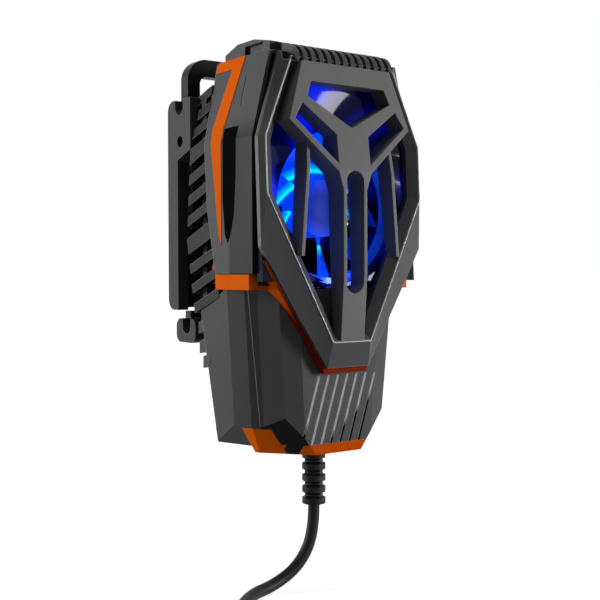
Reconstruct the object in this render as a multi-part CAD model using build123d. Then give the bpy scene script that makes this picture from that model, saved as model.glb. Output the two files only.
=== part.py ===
"""Clip-on cooling fan: a shield-shaped blower body held by a ribbed cage and a clamp frame.

Millimetres, +Z up, the front faces -Y. The origin is the middle of the clamp frame's
rear face, where the fan is held. Inside this script a depth is measured back from the
crest of the front rim, and a height up from the foot of the body.
"""
import os
from math import cos, pi, radians, sin, tan

from build123d import *

# Where the body lies from the mounting face
mount_depth = 54.0
mount_height = 72.0

# Front cover: crest of the rim, outer edge, skirt and well
cover_lean = 2.8
lean_pivot_height = 91.0
ridge_top_half = 18.6
ridge_top = 111.5
ridge_half = 28.2
ridge_shoulder = 88.5
ridge_waist = 72.3
ridge_foot_half = 6.9
ridge_foot = 30.2
edge_top_half = 21.2
edge_top = 113.2
edge_half = 29.4
edge_shoulder = 88.3
edge_waist = 57.6
edge_foot_half = 7.6
edge_foot = 22.8
border_depth = 2.3
cover_depth = 3.7
crest_width = 0.3
slope_width = 3.0
slope_depth = 2.2

# Raised panel with windows
panel_top_half = 16.1
panel_top = 110.2
arm_half = 22.0
arm_height = 92.9
crotch_half = 5.9
crotch_height = 79.0
bar_half = 4.3
bar_shoulder = 74.0
panel_crown_height = 79.6
panel_bend_height = 50.0
panel_top_depth = -0.6
panel_crown_depth = -4.6
panel_foot_depth = -3.1
panel_back_top = 4.6
panel_back_foot = 1.2
window_top_half = 13.4
window_top = 104.5
window_side_half = 15.2
window_side = 100.1
window_point = 91.9
side_window_top_half = 17.1
side_window_top = 98.0
side_window_tip_half = 20.1
side_window_tip = 93.4
side_window_near_half = 5.8
side_window_near = 89.8
side_window_low = 81.3
slot_half = 3.2
slot_top = 79.6
slot_foot = 44.2
fin_top_half = 14.9
fin_top = 88.0
fin_foot_half = 17.6
fin_foot = 55.0
fin_width = 1.1
fin_set_back = 1.7

# Top louvre strip
louvre_half = 18.0
louvre_foot = 110.4
louvre_top = 115.6
louvre_nose_depth = 5.5
louvre_relief = 1.3
louvre_rib_width = 1.5
louvre_ribs = 13
crown_half = 20.5
crown_front = 9.0
crown_front_top = 116.9
crown_peak_front = 17.0
crown_peak_back = 26.0
crown_peak = 118.6
crown_back = 33.0
crown_back_top = 116.4
crown_window_front = 12.5
crown_window_back = 22.0
crown_window_foot = 114.4
crown_window_top = 117.2
crown_window_sink = 1.2

# Side housing
housing_top_half = 23.5
housing_top = 113.4
housing_half = 29.4
housing_shoulder = 88.5
housing_foot = 50.0
housing_wall = 2.2
housing_front = 5.0
housing_back_top = 33.0
housing_back_middle = 29.5
housing_back_foot = 25.0
recess_front = 14.4
recess_back = 21.0
recess_top = 93.0
recess_tip = 59.0
recess_tip_depth = 19.0
recess_sink = 0.9
score_width = 0.5
score_depth = 0.6
score_top = 107.5
score_foot = 98.5
score_place = 14.5

# Accent frame
core_gap = 0.2
core_wall = 1.8
core_front = 8.2
core_back = 30.5
core_foot = 47.0
band_top = 49.8
band_front = 6.6
band_back = 24.6
band_inner_half = 23.0
band_proud = 0.15
collar_proud = 1.8
collar_width = 3.6
collar_depth = 9.0
stripe_top_front = 16.5
stripe_top_back = 31.0
stripe_hook_front = 23.0
stripe_hook_back = 32.4
stripe_hook = 110.3
stripe_bend_front = 21.2
stripe_bend_back = 27.6
stripe_bend = 92.5
stripe_low_back = 22.9
stripe_low = 62.0
stripe_tip = 58.5

# Ribbed cage
cage_half = 28.9
cage_top_half = 25.2
cage_front = 24.0
cage_core_half = 21.5
cage_core_back = 36.5
cage_wall = 1.6
cage_core_foot = 47.5
cage_core_top = 109.0
rib_slope = 20.0
rib_thick = 2.8
rib_thick_low_wide = 4.9
rib_thick_high_wide = 4.3
low_rib_pitch = 6.4
high_rib_pitch = 6.1
low_rib_foot = 36.4
high_rib_foot = 64.3
top_rib_foot = 90.2
top_rib_pitch = 5.1
low_ribs = 3
high_ribs = 3
top_ribs = 3
ear_gap = 2.0
ear_gap_foot = 95.0
ear_gap_rise = 5.6
cage_post = 2.2
cage_post_half = 25.4
cage_post_depth = 34.6
cage_post_foot = 39.0
cage_back_top = 30.0
cage_back_top_height = 109.4
cage_back_neck = 33.0
cage_back_neck_height = 106.8
cage_back_wide = 42.2
cage_back_wide_height = 60.0
cage_back_foot = 37.6
cage_back_foot_height = 37.0
boss_reach = 3.0
boss_half = 15.8
boss_low = 50.5
boss_high = 88.0

# Clamp frame on the back
frame_half = 29.0
frame_top = 104.2
frame_foot = 38.6
frame_plate = 1.5
frame_rail_front = 47.9
frame_rail_width = 3.6
frame_corner = 3.4
ear_front = 40.0
ear_foot = 88.2
ear_slope_foot = 85.4
notch_place = 46.8
notch_width = 5.0
notch_foot = 99.4
pin_hole_place = 46.3
pin_hole_height = 91.1
pin_hole = 3.6
block_front = 44.6
block_foot = 40.0
block_top = 97.0
keeper_front = 46.0
keeper_gap = 0.4
keeper_foot = 64.0
keeper_gap_foot = 88.2
keeper_gap_top = 94.0
frame_bite = 3.0

# Sliding arch and clamp jaw
arch_half = 25.1
arch_leg_width = 4.5
arch_top = 118.0
arch_bar = 5.4
arch_foot = 62.0
arch_round = 7.0
slide_clearance = 0.2
jaw_half = 27.8
jaw_front = 39.5
jaw_back = 51.2
jaw_foot = 28.5
jaw_top = 36.0
jaw_corner = 2.6
jaw_groove_place = 44.9
jaw_groove_width = 4.9
jaw_groove_foot = 31.2
neck_half = 24.6
neck_top = 38.2
tongue_half = 13.0
tongue_front = 47.9
tongue_thick = 3.2
tongue_top = 74.0
sleeve_top = 78.0

# Lower body: half widths and depths of its section at the foot, and how it spreads
lower_top = 45.4
lower_spread = 3.6
lower_seam = 12.6
lower_wall = 2.0
lower_face_depth = 3.6
lower_face_top_depth = 2.2
lower_edge_half = 12.0
lower_crease_half = 17.6
lower_crease_set = 2.0
lower_hip_half = 20.8
lower_hip_set = 8.2
lower_step_half = 23.2
lower_step_set = 11.2
lower_side_half = 25.2
lower_side_set = 17.4
lower_back_depth = 31.0
lower_back_top_depth = 36.0
shoulder_depth = 21.5
shoulder_drop = 0.6
diamond_half = 11.7
diamond_rise = 7.0
diamond_tail_rise = 3.0
knee_rise = 4.8
knee_angle = 30.0
hollow_foot = 6.5
groove_width = 0.7
groove_sink = 0.6
groove_pitch = 3.5
groove_lean = 5.9
groove_rise = 20.2
grooves = 7
trim_thick = 3.0
trim_back = 18.6
trim_wing_front = 10.4
trim_wing_half = 15.0
trim_wing_top = 4.7
rear_foot = -1.0
heel_half = 27.2
heel_thick = 3.3
heel_high_foot = 30.2
heel_high_back = 38.4
heel_middle_foot = 24.1
heel_middle_back = 38.0
heel_low_foot = 18.9
heel_low_back = 35.8
gland_hole = 8.4

# Fan duct and light
fan_height = 69.5
duct_bore = 45.4
duct_wall = 1.0
duct_front = 5.0
duct_plate = 1.4
duct_back = 25.0
duct_plate_foot = 46.6
duct_plate_half = 26.6
seam_inset = 1.2
light_ledge = 0.7
light_ledge_thick = 0.8
light_bore = 41.6
light_thick = 1.4
light_place = 7.4
light_board_thick = 1.0
led_side = 0.7
led_rise = 0.5
leds = 12

# Impeller and motor
impeller_reach = 21.9
impeller_front = 11.4
impeller_length = 9.0
hub_reach = 8.6
hub_wall = 1.2
blade_count = 9
blade_thick = 0.9
blade_root_turn = 30.0
blade_tip_turn = 52.0
blade_root_length = 8.0
blade_tip_length = 13.0
blade_sink = 0.5
rotor_wall = 0.5
rotor_length = 6.6
magnet_wall = 1.0
magnet_length = 5.0
shaft_size = 2.0
shaft_length = 9.0
bearing_size = 3.6
bearing_length = 7.5
bearing_clearance = 0.02
stator_thick = 2.4
stator_place = 16.0
stator_ring = 0.5
stator_poles = 4
stator_arm = 1.4
stator_shoe = 0.6
coil_rise = 0.7
coil_length = 1.9
spider_thick = 2.0
spider_front = 21.0
spider_arm = 2.6
spider_arms = 4
spider_reach = 8.0
bearing_tube_wall = 0.6
motor_board_thick = 0.8
motor_board_reach = 6.6
running_gap = 0.3

# Control board and lead socket
board_half = 13.0
board_height = 18.0
board_depth = 20.0
board_thick = 1.6
board_foot = 12.0
board_boss = 2.4
board_boss_half = 9.5
driver_side = 5.0
driver_rise = 1.4
socket_side = 6.0
socket_rise = 4.0
socket_height = 4.0

# Screws
screw_size = 2.2
screw_head = 4.0
screw_head_rise = 1.4
screw_length = 9.0
short_screw_length = 6.0
shell_boss = 3.0
shell_boss_half = 17.0
shell_boss_height = 31.0

# Lead: gland, cable, coil and plug
cord_size = 3.6
gland_depth = 16.0
gland_foot = -20.3
gland_core = 5.6
gland_rib = 7.2
gland_rib_length = 2.0
gland_pitch = 3.5
gland_ribs = 4
gland_neck = 8.0
gland_collar = 10.6
gland_collar_rise = 1.6
coil_across = 39.6
coil_gap = 0.5
half_turns_inward = 4
tie_width = 4.0
tie_wall = 1.0
tie_gap = 0.1
tie_play = 0.6
plug_length = 26.0
plug_width = 16.0
plug_thick = 8.0
plug_round = 1.6
shell_width = 12.0
shell_thick = 4.5
shell_length = 18.8
shell_wall = 0.3
usb_tongue_thick = 1.8
usb_tongue_length = 17.0

cut_overrun = 2.0
arc_share = 0.45
gap_points = 600

# Values that follow from the sizes above
rotor_front = impeller_front + hub_wall
rotor_reach = hub_reach - hub_wall
magnet_reach = rotor_reach - rotor_wall
magnet_inner = magnet_reach - magnet_wall
stator_reach = magnet_inner - running_gap
tube_reach = bearing_size / 2 + bearing_tube_wall
bearing_back = spider_front + spider_thick / 2
arch_back = mount_depth - frame_plate - slide_clearance
arch_front = frame_rail_front + slide_clearance
block_half = arch_half - arch_leg_width - slide_clearance
screw_seat = block_front + frame_bite
gland_top = hollow_foot + gland_collar_rise
coil_pitch = cord_size + coil_gap

ridge_y = -mount_depth
base_z = -mount_height

front_plane = Plane(origin=(0, ridge_y, base_z), x_dir=(1, 0, 0), z_dir=(0, -1, 0))
side_plane = Plane(origin=(0, ridge_y, base_z), x_dir=(0, 1, 0), z_dir=(1, 0, 0))
plan_plane = Plane(origin=(0, ridge_y, base_z), x_dir=(1, 0, 0), z_dir=(0, 0, 1))
lean_foot_depth = -lean_pivot_height * tan(radians(cover_lean))
cover_plane = Plane(
    origin=(0, ridge_y + lean_foot_depth, base_z),
    x_dir=(1, 0, 0),
    z_dir=(0, -cos(radians(cover_lean)), sin(radians(cover_lean))),
)


def place(x, depth, height):
    """Return the point at a side offset, a depth and a height."""
    return Vector(x, ridge_y + depth, base_z + height)


def mirrored(plane, half):
    """Return the face whose right half runs through the given points."""
    other = [(-x, y) for x, y in reversed(half) if x > 0]
    return plane * make_face(Polyline(*half, *other, close=True))


def across(points, reach):
    """Return a side profile of depths and heights, extruded both ways across the body."""
    profile = side_plane * make_face(Polyline(*points, close=True))
    return extrude(profile, reach, both=True)


def slab(half, near, far, plane=front_plane):
    """Return a mirrored outline as a solid between two depths."""
    return extrude(mirrored(plane.offset(-far), half), far - near)


def block(x_range, depth_range, height_range):
    """Return a box between pairs of side offsets, depths and heights."""
    low = place(x_range[0], depth_range[0], height_range[0])
    high = place(x_range[1], depth_range[1], height_range[1])
    middle = (low + high) / 2
    size = high - low
    return Pos(*middle) * Box(size.X, size.Y, size.Z)


def turned(radius, near, far, x=0.0, height=fan_height):
    """Return a cylinder about a front-to-back axis between two depths."""
    middle = place(x, (near + far) / 2, height)
    return Pos(*middle) * Rot(90, 0, 0) * Cylinder(radius, far - near)


def standing(radius, low, high, x, depth):
    """Return an upright cylinder between two heights."""
    middle = place(x, depth, (low + high) / 2)
    return Pos(*middle) * Cylinder(radius, high - low)


# Route of the cord: out of the strain relief, down on to the resting surface and to the coil
lead_route = [
    place(0, gland_depth, gland_foot),
    place(0, gland_depth, -29.5),
    place(-5.4, gland_depth, -38.4),
    place(-14.6, gland_depth, -43.0),
    place(-27.0, 12.0, -43.0),
    place(-44.0, -6.2, -43.0),
    place(-58.9, -26.7, -43.0),
]
# Steps of the tail from the coil's end to the plug on top of it: ahead, to the left and up
tail_steps = [(4.5, 0, 0), (9.5, 0.5, 2.9), (14.0, 5.3, 5.9), (14.0, 13.0, 5.9)]


def write(name, shape):
    """Write one sub-part to its own file."""
    export_step(shape, f"parts/{name}.step")


# Outlines shared by pieces that meet
ridge_outline = [
    (ridge_top_half, ridge_top),
    (ridge_half, ridge_shoulder),
    (ridge_half, ridge_waist),
    (ridge_foot_half, ridge_foot),
]
edge_outline = [
    (edge_top_half, edge_top),
    (edge_half, edge_shoulder),
    (edge_half, edge_waist),
    (edge_foot_half, edge_foot),
]
housing_outline = [
    (housing_top_half, housing_top),
    (housing_half, housing_shoulder),
    (housing_half, housing_foot),
]


def grown(half, amount, plane=front_plane):
    """Return a mirrored outline grown outwards, or inwards where the amount is negative."""
    return offset(mirrored(plane, half), amount, kind=Kind.INTERSECTION)


def grown_slab(half, amount, near, far, plane=front_plane):
    """Return a grown outline as a solid between two depths."""
    return extrude(grown(half, amount, plane.offset(-far)), far - near)


def cover_solid():
    """Return the cover before its well is cut."""
    border = loft(
        [mirrored(cover_plane, ridge_outline), mirrored(cover_plane.offset(-border_depth), edge_outline)],
        ruled=True,
    )
    return border + slab(edge_outline, border_depth, cover_depth, cover_plane)


def front_cover():
    """Return the rim with its slanted border and the sloped wall of its well."""
    slope = loft(
        [
            grown(ridge_outline, -crest_width, cover_plane),
            grown(ridge_outline, -slope_width, cover_plane.offset(-slope_depth)),
        ],
        ruled=True,
    )
    well = grown_slab(ridge_outline, -slope_width, slope_depth, cover_depth + cut_overrun, cover_plane)
    return cover_solid() - slope - well - louvre_room()


def side_windows():
    """Return the cutters of the two slanted side windows."""
    points = [
        (side_window_top_half, side_window_top),
        (side_window_near_half, side_window_near),
        (side_window_near_half, side_window_low),
        (side_window_tip_half, side_window_tip),
    ]
    reach = panel_back_top + cut_overrun
    face = front_plane.offset(-reach) * make_face(Polyline(*points, close=True))
    right = extrude(face, reach - panel_crown_depth + cut_overrun)
    return right + mirror(right, about=Plane.YZ)


def panel_profile(set_back):
    """Return the bent front-to-back profile of the panel, its front moved back by an amount."""
    points = [
        (panel_top_depth + set_back, panel_top),
        (panel_crown_depth + set_back, panel_crown_height),
        (panel_crown_depth + set_back, panel_bend_height),
        (panel_foot_depth + set_back, ridge_foot),
        (panel_back_foot, ridge_foot),
        (panel_back_top, panel_top),
    ]
    return across(points, housing_half)


def grille_fins():
    """Return the two thin fins beside the centre bar."""
    half = fin_width / 2
    points = [
        (fin_top_half - half, fin_top),
        (fin_top_half + half, fin_top),
        (fin_foot_half + half, fin_foot),
        (fin_foot_half - half, fin_foot),
    ]
    face = front_plane.offset(-panel_back_top) * make_face(Polyline(*points, close=True))
    right = extrude(face, panel_back_top - panel_crown_depth)
    return (right + mirror(right, about=Plane.YZ)) & panel_profile(fin_set_back)


def behind_cover():
    """Return the space behind the cover's rear plane."""
    span = mount_height * 2
    return extrude(cover_plane.offset(-cover_depth) * Rectangle(span, span * 2), -mount_depth)


def y_grille():
    """Return the raised panel: two arms, a slotted bar, three windows and two fins."""
    outline = [
        (panel_top_half, panel_top),
        (arm_half, arm_height),
        (crotch_half, crotch_height),
        (bar_half, bar_shoulder),
        (bar_half, ridge_foot),
    ]
    panel = slab(outline, panel_crown_depth, panel_back_top) & panel_profile(0)
    window_half = [(window_top_half, window_top), (window_side_half, window_side), (0, window_point)]
    top_window = slab(window_half, panel_crown_depth - cut_overrun, panel_back_top + cut_overrun)
    slot = front_plane.offset(-panel_back_top) * Pos(0, (slot_top + slot_foot) / 2) * SlotOverall(
        slot_top - slot_foot, slot_half * 2, rotation=90
    )
    slot_cut = extrude(slot, panel_back_top - panel_crown_depth + cut_overrun)
    fins = grille_fins()
    return panel - top_window - side_windows() - slot_cut + fins - front_cover() - behind_cover()


def crown_line(sink):
    """Return the line of the raised rear end of the louvre strip, sunk by an amount."""
    return [
        (crown_front, crown_front_top - sink),
        (crown_peak_front, crown_peak - sink),
        (crown_peak_back, crown_peak - sink),
        (crown_back, crown_back_top - sink),
    ]


def crown_cheeks():
    """Return the two cheeks that close the raised rear end, each with a sunk window."""
    profile = [(crown_front, housing_top)] + crown_line(0) + [(crown_back, housing_top)]
    half = louvre_half - louvre_rib_width
    inner = block((-half, half), (0, mount_depth), (housing_foot, crown_peak + cut_overrun))
    window = block(
        (crown_half - crown_window_sink, crown_half + cut_overrun),
        (crown_window_front, crown_window_back),
        (crown_window_foot, crown_window_top),
    )
    return across(profile, crown_half) - inner - pair(window)


def louvre_profile(sink):
    """Return the strip's front-to-back profile, its outer surface sunk by an amount."""
    lower = (sink, louvre_foot)
    nose = (sink, louvre_foot + sink)
    brow = (louvre_nose_depth, louvre_top - sink)
    bulge = (
        louvre_nose_depth - (louvre_nose_depth - sink) * cos(pi / 4),
        louvre_top - sink - (louvre_top - louvre_foot - 2 * sink) * (1 - sin(pi / 4)),
    )
    inside = [(crown_back, housing_top), (housing_front, housing_top), (housing_front, louvre_foot)]
    edges = [ThreePointArc(nose, bulge, brow), Polyline(brow, *crown_line(sink), *inside, lower)]
    if sink > 0:
        edges.append(Line(lower, nose))
    return side_plane * make_face(edges)


def louvre_room():
    """Return the space over the housing that the louvre strip and its raised end take."""
    half = crown_half + slide_clearance
    return block((-half, half), (-cut_overrun, mount_depth), (louvre_foot, crown_peak))


def top_louvre():
    """Return the strip of ridges that wraps over the top front edge."""
    strip = extrude(louvre_profile(louvre_relief), louvre_half, both=True)
    pitch = (louvre_half * 2 - louvre_rib_width) / (louvre_ribs - 1)
    rib = extrude(louvre_profile(0), louvre_rib_width / 2, both=True)
    for index in range(louvre_ribs):
        x = -louvre_half + louvre_rib_width / 2 + index * pitch
        strip += Pos(x, 0, 0) * rib
    return strip + crown_cheeks() - front_cover() - y_grille()


def stripe_solid():
    """Return the hooked stripe at each side as a solid right across the body."""
    points = [
        (stripe_top_front, housing_top + cut_overrun),
        (stripe_top_back, housing_top + cut_overrun),
        (stripe_hook_back, stripe_hook),
        (stripe_hook_front, stripe_hook),
        (stripe_bend_back, stripe_bend),
        (stripe_low_back, stripe_low),
        (stripe_bend_front, stripe_tip),
        (stripe_bend_front, stripe_bend),
    ]
    return across(points, housing_half + cut_overrun)


def housing_side():
    """Return the housing's side outline, with its slanted rear edge, as a solid right across."""
    points = [
        (0, housing_top + cut_overrun),
        (housing_back_top, housing_top + cut_overrun),
        (housing_back_middle, (housing_shoulder + housing_foot) / 2),
        (housing_back_foot, housing_foot),
        (0, housing_foot),
    ]
    return across(points, housing_half + cut_overrun)


def housing_recess():
    """Return the cutter of the long three-cornered recess in each side."""
    points = [
        (recess_front, recess_top),
        (recess_back, recess_top),
        (recess_tip_depth, recess_tip),
    ]
    inner = housing_half - recess_sink
    middle = block((-inner, inner), (0, mount_depth), (0, housing_top))
    return across(points, housing_half + cut_overrun) - middle


def housing_score():
    """Return the cutter of the short scored line high on each side."""
    half = score_width / 2
    depths = (score_place - half, score_place + half)
    line = block((-housing_half, housing_half), depths, (score_foot, score_top))
    return line - grown_slab(housing_outline, -score_depth, 0, mount_depth)


def corner_webs():
    """Return the small walls that close the housing's front corners beside the chin."""
    inner = (collar_reach(housing_foot), housing_foot)
    points = [(housing_half, edge_waist), (housing_half, housing_foot), inner]
    face = front_plane.offset(-housing_front - housing_wall) * make_face(Polyline(*points, close=True))
    web = extrude(face, housing_wall)
    return web + mirror(web, about=Plane.YZ)


def upper_housing():
    """Return the shell round the fan, open at the front, the back and the foot."""
    outer = slab(housing_outline, housing_front, housing_back_top) & housing_side()
    inner_half = housing_outline[:-1] + [(housing_half, housing_foot - housing_wall - cut_overrun)]
    inner = grown_slab(inner_half, -housing_wall, housing_front - cut_overrun, mount_depth)
    shell = outer - inner - stripe_solid() - housing_recess() - housing_score()
    return shell + (corner_webs() - collar_solid())


def lower_section(height, inset):
    """Return the lower body's section at a height, drawn in by a wall."""
    rise = height / lower_top
    spread = lower_spread * rise
    face = lower_face_depth + (lower_face_top_depth - lower_face_depth) * rise
    back = lower_back_depth + (lower_back_top_depth - lower_back_depth) * rise
    half = [
        (lower_edge_half + spread, face),
        (lower_crease_half + spread, face + lower_crease_set),
        (lower_hip_half + spread, face + lower_hip_set),
        (lower_step_half + spread, face + lower_step_set),
        (lower_side_half + spread, face + lower_side_set),
        (lower_side_half + spread, back),
    ]
    return offset(mirrored(plan_plane.offset(height), half), -inset, kind=Kind.INTERSECTION)


def beyond(point, outward):
    """Return a large box that lies outside a plane through a point."""
    span = mount_depth
    facet = Plane(origin=point, z_dir=outward)
    return facet * Box(span, span, span, align=(Align.CENTER, Align.CENTER, Align.MIN))


def knee_cut(start, end):
    """Return the cutter of the slanted foot below one side face of the section."""
    along = Vector(end[0] - start[0], end[1] - start[1], 0)
    outward = Vector(along.Y, -along.X, 0).normalized() * cos(radians(knee_angle))
    outward -= Vector(0, 0, sin(radians(knee_angle)))
    return beyond(place(start[0], lower_face_depth + start[1], knee_rise), outward)


def foot_cuts():
    """Return the cutters of the slanted lower corners: one facet in front and two at each side."""
    first = place(diamond_half, lower_face_depth, 0)
    upper = Vector(lower_crease_half - diamond_half, lower_crease_set, diamond_rise)
    rear = Vector(lower_hip_half - diamond_half, lower_hip_set, diamond_tail_rise)
    outward = rear.cross(upper).normalized()
    outward = outward if outward.X > 0 else outward * -1
    right = beyond(first, outward)
    hip = (lower_hip_half, lower_hip_set)
    step = (lower_step_half, lower_step_set)
    side = (lower_side_half, lower_side_set)
    right += knee_cut(hip, step) + knee_cut(step, side)
    return right + mirror(right, about=Plane.YZ)


def shoulder_cut():
    """Return the cutter above the lower body's rear top, which slopes like the ribs."""
    drop = (mount_depth - shoulder_depth) * tan(radians(rib_slope))
    start = lower_top - shoulder_drop
    points = [
        (shoulder_depth, start),
        (mount_depth, start - drop),
        (mount_depth, lower_top + cut_overrun),
        (shoulder_depth, lower_top + cut_overrun),
    ]
    return across(points, housing_half + cut_overrun)


def lower_form(inset=0.0):
    """Return the lower body's outer form down to the underside of the trim, or a smaller copy."""
    low = lower_section(-trim_thick, inset)
    high = lower_section(lower_top, inset)
    return loft([low, high], ruled=True) - foot_cuts() - shoulder_cut()


def diamond_feet():
    """Return the blocks below each slanted facet, which belong to the front shell."""
    return pair(block((diamond_half, trim_wing_half), (0, trim_wing_front), (-trim_thick, 0)))


def trim_space():
    """Return the space that the trim takes: under the front half and up each corner."""
    reach = housing_half + cut_overrun
    foot = block((-reach, reach), (-cut_overrun, trim_back), (-trim_thick - cut_overrun, 0))
    wings = block((-reach, reach), (trim_wing_front, trim_back), (-trim_thick - cut_overrun, trim_wing_top))
    middle = block(
        (-trim_wing_half, trim_wing_half), (0, mount_depth), (0, trim_wing_top + cut_overrun)
    )
    return foot + (wings - middle) - diamond_feet()


def lower_hollow():
    """Return the space inside the lower body."""
    form = loft([lower_section(0, lower_wall), lower_section(lower_top, lower_wall)], ruled=True)
    reach = lower_side_half
    drop = (lower_back_top_depth - shoulder_depth) * tan(radians(rib_slope))
    top = lower_top - shoulder_drop - drop - lower_wall
    return form & block((-reach, reach), (0, mount_depth), (hollow_foot, top))


def front_grooves():
    """Return the cutters of the slanted grooves in the lower front face."""
    half = groove_width / 2
    cutters = []
    for index in range(grooves):
        x = (index - (grooves - 1) / 2) * groove_pitch
        low = x - groove_lean / 2
        high = x + groove_lean / 2
        face = front_plane.offset(-lower_face_depth - cut_overrun) * make_face(Polyline(
            (low - half, 0), (low + half, 0), (high + half, groove_rise), (high - half, groove_rise),
            close=True,
        ))
        cutters.append(extrude(face, lower_face_depth + cut_overrun))
    sections = [lower_section(-trim_thick, groove_sink), lower_section(lower_top, groove_sink)]
    floor = loft(sections, ruled=True)
    return Part() + cutters - floor


def lower_range(near, far, foot):
    """Return a block round the lower body between two depths and above a foot."""
    reach = housing_half + cut_overrun
    return block((-reach, reach), (near, far), (foot, lower_top + cut_overrun))


def gland_cut():
    """Return the hole of the cord's strain relief through the floor."""
    low = -trim_thick - cut_overrun
    return standing(gland_hole / 2, low, hollow_foot + cut_overrun, 0, gland_depth)


def pair(piece):
    """Return a piece and its mirror image."""
    return piece + mirror(piece, about=Plane.YZ)


def lower_front_shell():
    """Return the lower body's front half with its slanted grooves and two screw bosses."""
    shell = lower_form() - trim_space() - lower_hollow() - front_grooves()
    shell = shell & (lower_range(0, lower_seam, 0) + diamond_feet())
    near = lower_face_depth + lower_wall / 2
    bosses = pair(turned(shell_boss, near, lower_seam, shell_boss_half, shell_boss_height))
    near = lower_face_depth + 2 * lower_wall
    holes = pair(turned(screw_size / 2, near, lower_seam + cut_overrun, shell_boss_half, shell_boss_height))
    return shell + (bosses & lower_form(lower_wall / 2)) - holes - gland_cut()


def heel_ribs():
    """Return the slanted ribs on the lower body's back, which carry on the cage's row."""
    ribs = []
    for foot, back in (
        (heel_high_foot, heel_high_back),
        (heel_middle_foot, heel_middle_back),
        (heel_low_foot, heel_low_back),
    ):
        reach = block((-heel_half, heel_half), (lower_back_depth + lower_wall / 2, back), (0, lower_top))
        ribs.append(slanted_rib(foot, heel_thick) & reach)
    return ribs


def lower_rear_shell():
    """Return the lower body's rear half, with board bosses and the hole for the gland in its floor."""
    shell = lower_form() - trim_space() + heel_ribs() - lower_hollow()
    shell = shell & lower_range(lower_seam, mount_depth, rear_foot)
    back = lower_back_depth + lower_wall
    middle = board_foot + board_height / 2
    near = board_depth + board_thick
    posts = pair(turned(board_boss, near, back, board_boss_half, middle))
    posts += pair(turned(shell_boss, lower_seam, back, shell_boss_half, shell_boss_height))
    shell += posts & lower_form(lower_wall / 2)
    seat = lower_seam + screw_length / 2
    shell -= pair(turned(screw_size / 2, 0, seat + cut_overrun, shell_boss_half, shell_boss_height))
    shell -= pair(turned(screw_head / 2, seat, mount_depth, shell_boss_half, shell_boss_height))
    shell -= pair(turned(screw_size / 2, 0, near + short_screw_length, board_boss_half, middle))
    return shell - gland_cut()


def bottom_trim():
    """Return the accent plate under the lower body, with a wing up each slanted corner."""
    return (lower_form() & trim_space()) - gland_cut()


def collar_reach(height):
    """Return the half width of the chin collar at a height."""
    slope = (edge_waist - edge_foot) / (edge_half - edge_foot_half)
    return edge_foot_half + (height - edge_foot + collar_proud) / slope


def collar_solid():
    """Return the V-shaped collar behind the chin of the cover."""
    foot = edge_foot - collar_proud
    high = band_top + (edge_waist - band_top) / 2
    near = lean_foot_depth
    outer = slab([(collar_reach(high), high), (edge_foot_half, foot)], near, collar_depth)
    inner_half = [
        (collar_reach(high) - collar_width, high + cut_overrun),
        (edge_foot_half - collar_width / 2, foot + collar_width),
    ]
    inner = slab(inner_half, near - cut_overrun, collar_depth + cut_overrun)
    near_shell = block(
        (-housing_half, housing_half),
        (housing_front - core_gap, mount_depth),
        (band_top, housing_top),
    )
    return ((outer - inner) & behind_cover()) - near_shell


def accent_core():
    """Return the tubular core that lies inside the housing."""
    inset = housing_wall + core_gap
    half = housing_outline[:-1] + [(housing_half, core_foot - inset)]
    core = grown_slab(half, -inset, core_front, core_back)
    return core - grown_slab(half, -inset - core_wall, core_front - cut_overrun, core_back + cut_overrun)


def accent_frame():
    """Return the accent-coloured middle frame: core, side bands, chin collar and side stripes."""
    outer = housing_half + band_proud
    band = block((band_inner_half, outer), (band_front, band_back), (lower_top, band_top))
    half = housing_outline[:-1] + [(housing_half, core_foot)]
    skin = grown_slab(half, band_proud, 0, mount_depth)
    sunk = housing_wall + core_gap + core_wall / 2
    skin -= grown_slab(half, -sunk, -cut_overrun, mount_depth + cut_overrun)
    above = block((-housing_half, housing_half), (0, mount_depth), (housing_top, louvre_top))
    stripes = (stripe_solid() & skin) - (louvre_room() & above)
    reach = collar_reach(band_top) - collar_width
    inner = band_inner_half + collar_width
    tie = block((reach, inner), (band_front, collar_depth), (lower_top, band_top))
    frame = accent_core() + pair(band) + stripes + collar_solid() + pair(tie)
    bore = turned(duct_bore / 2 + duct_wall + core_gap, -cut_overrun, duct_back + core_gap)
    return frame - lower_form() - bore


def motor_spider():
    """Return the motor's base plate, its bearing tube and the arms that reach the duct."""
    far = spider_front + spider_thick
    arms = []
    for index in range(spider_arms):
        reach = duct_bore / 2 + duct_wall / 2
        middle = place(0, (spider_front + far) / 2, fan_height)
        arm = Pos(reach / 2, 0, 0) * Box(reach, spider_thick, spider_arm)
        turn = (index + 1 / 2) * 360 / spider_arms
        arms.append(Pos(*middle) * Rot(0, turn, 0) * arm)
    spider = fan_axis(spider_front, far, spider_reach) + arms
    spider += fan_axis(bearing_back - bearing_length, spider_front, tube_reach)
    return spider - fan_axis(bearing_back - bearing_length - cut_overrun, bearing_back, bearing_size / 2)


def fan_duct():
    """Return the fan's frame: front plate, duct, and the struts that carry the motor."""
    half = housing_outline[:-1] + [(housing_half, duct_plate_foot)]
    flange = grown_slab(half, -seam_inset, 0, duct_front) & behind_cover()
    plate_half = [
        (ridge_top_half, ridge_top - slope_width),
        (duct_plate_half, housing_shoulder),
        (duct_plate_half, duct_plate_foot),
    ]
    plate = slab(plate_half, duct_front, duct_front + duct_plate)
    bore = duct_bore / 2
    tube = fan_axis(duct_front, duct_back, bore + duct_wall)
    near = light_place + light_thick + light_board_thick
    ledge = fan_axis(near, near + light_ledge_thick, bore, bore - light_ledge)
    frame = flange + plate + tube - fan_axis(0, mount_depth, bore)
    frame = frame + ledge + motor_spider() - corner_webs()
    return frame - collar_solid() - lower_form() - louvre_room()


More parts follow.
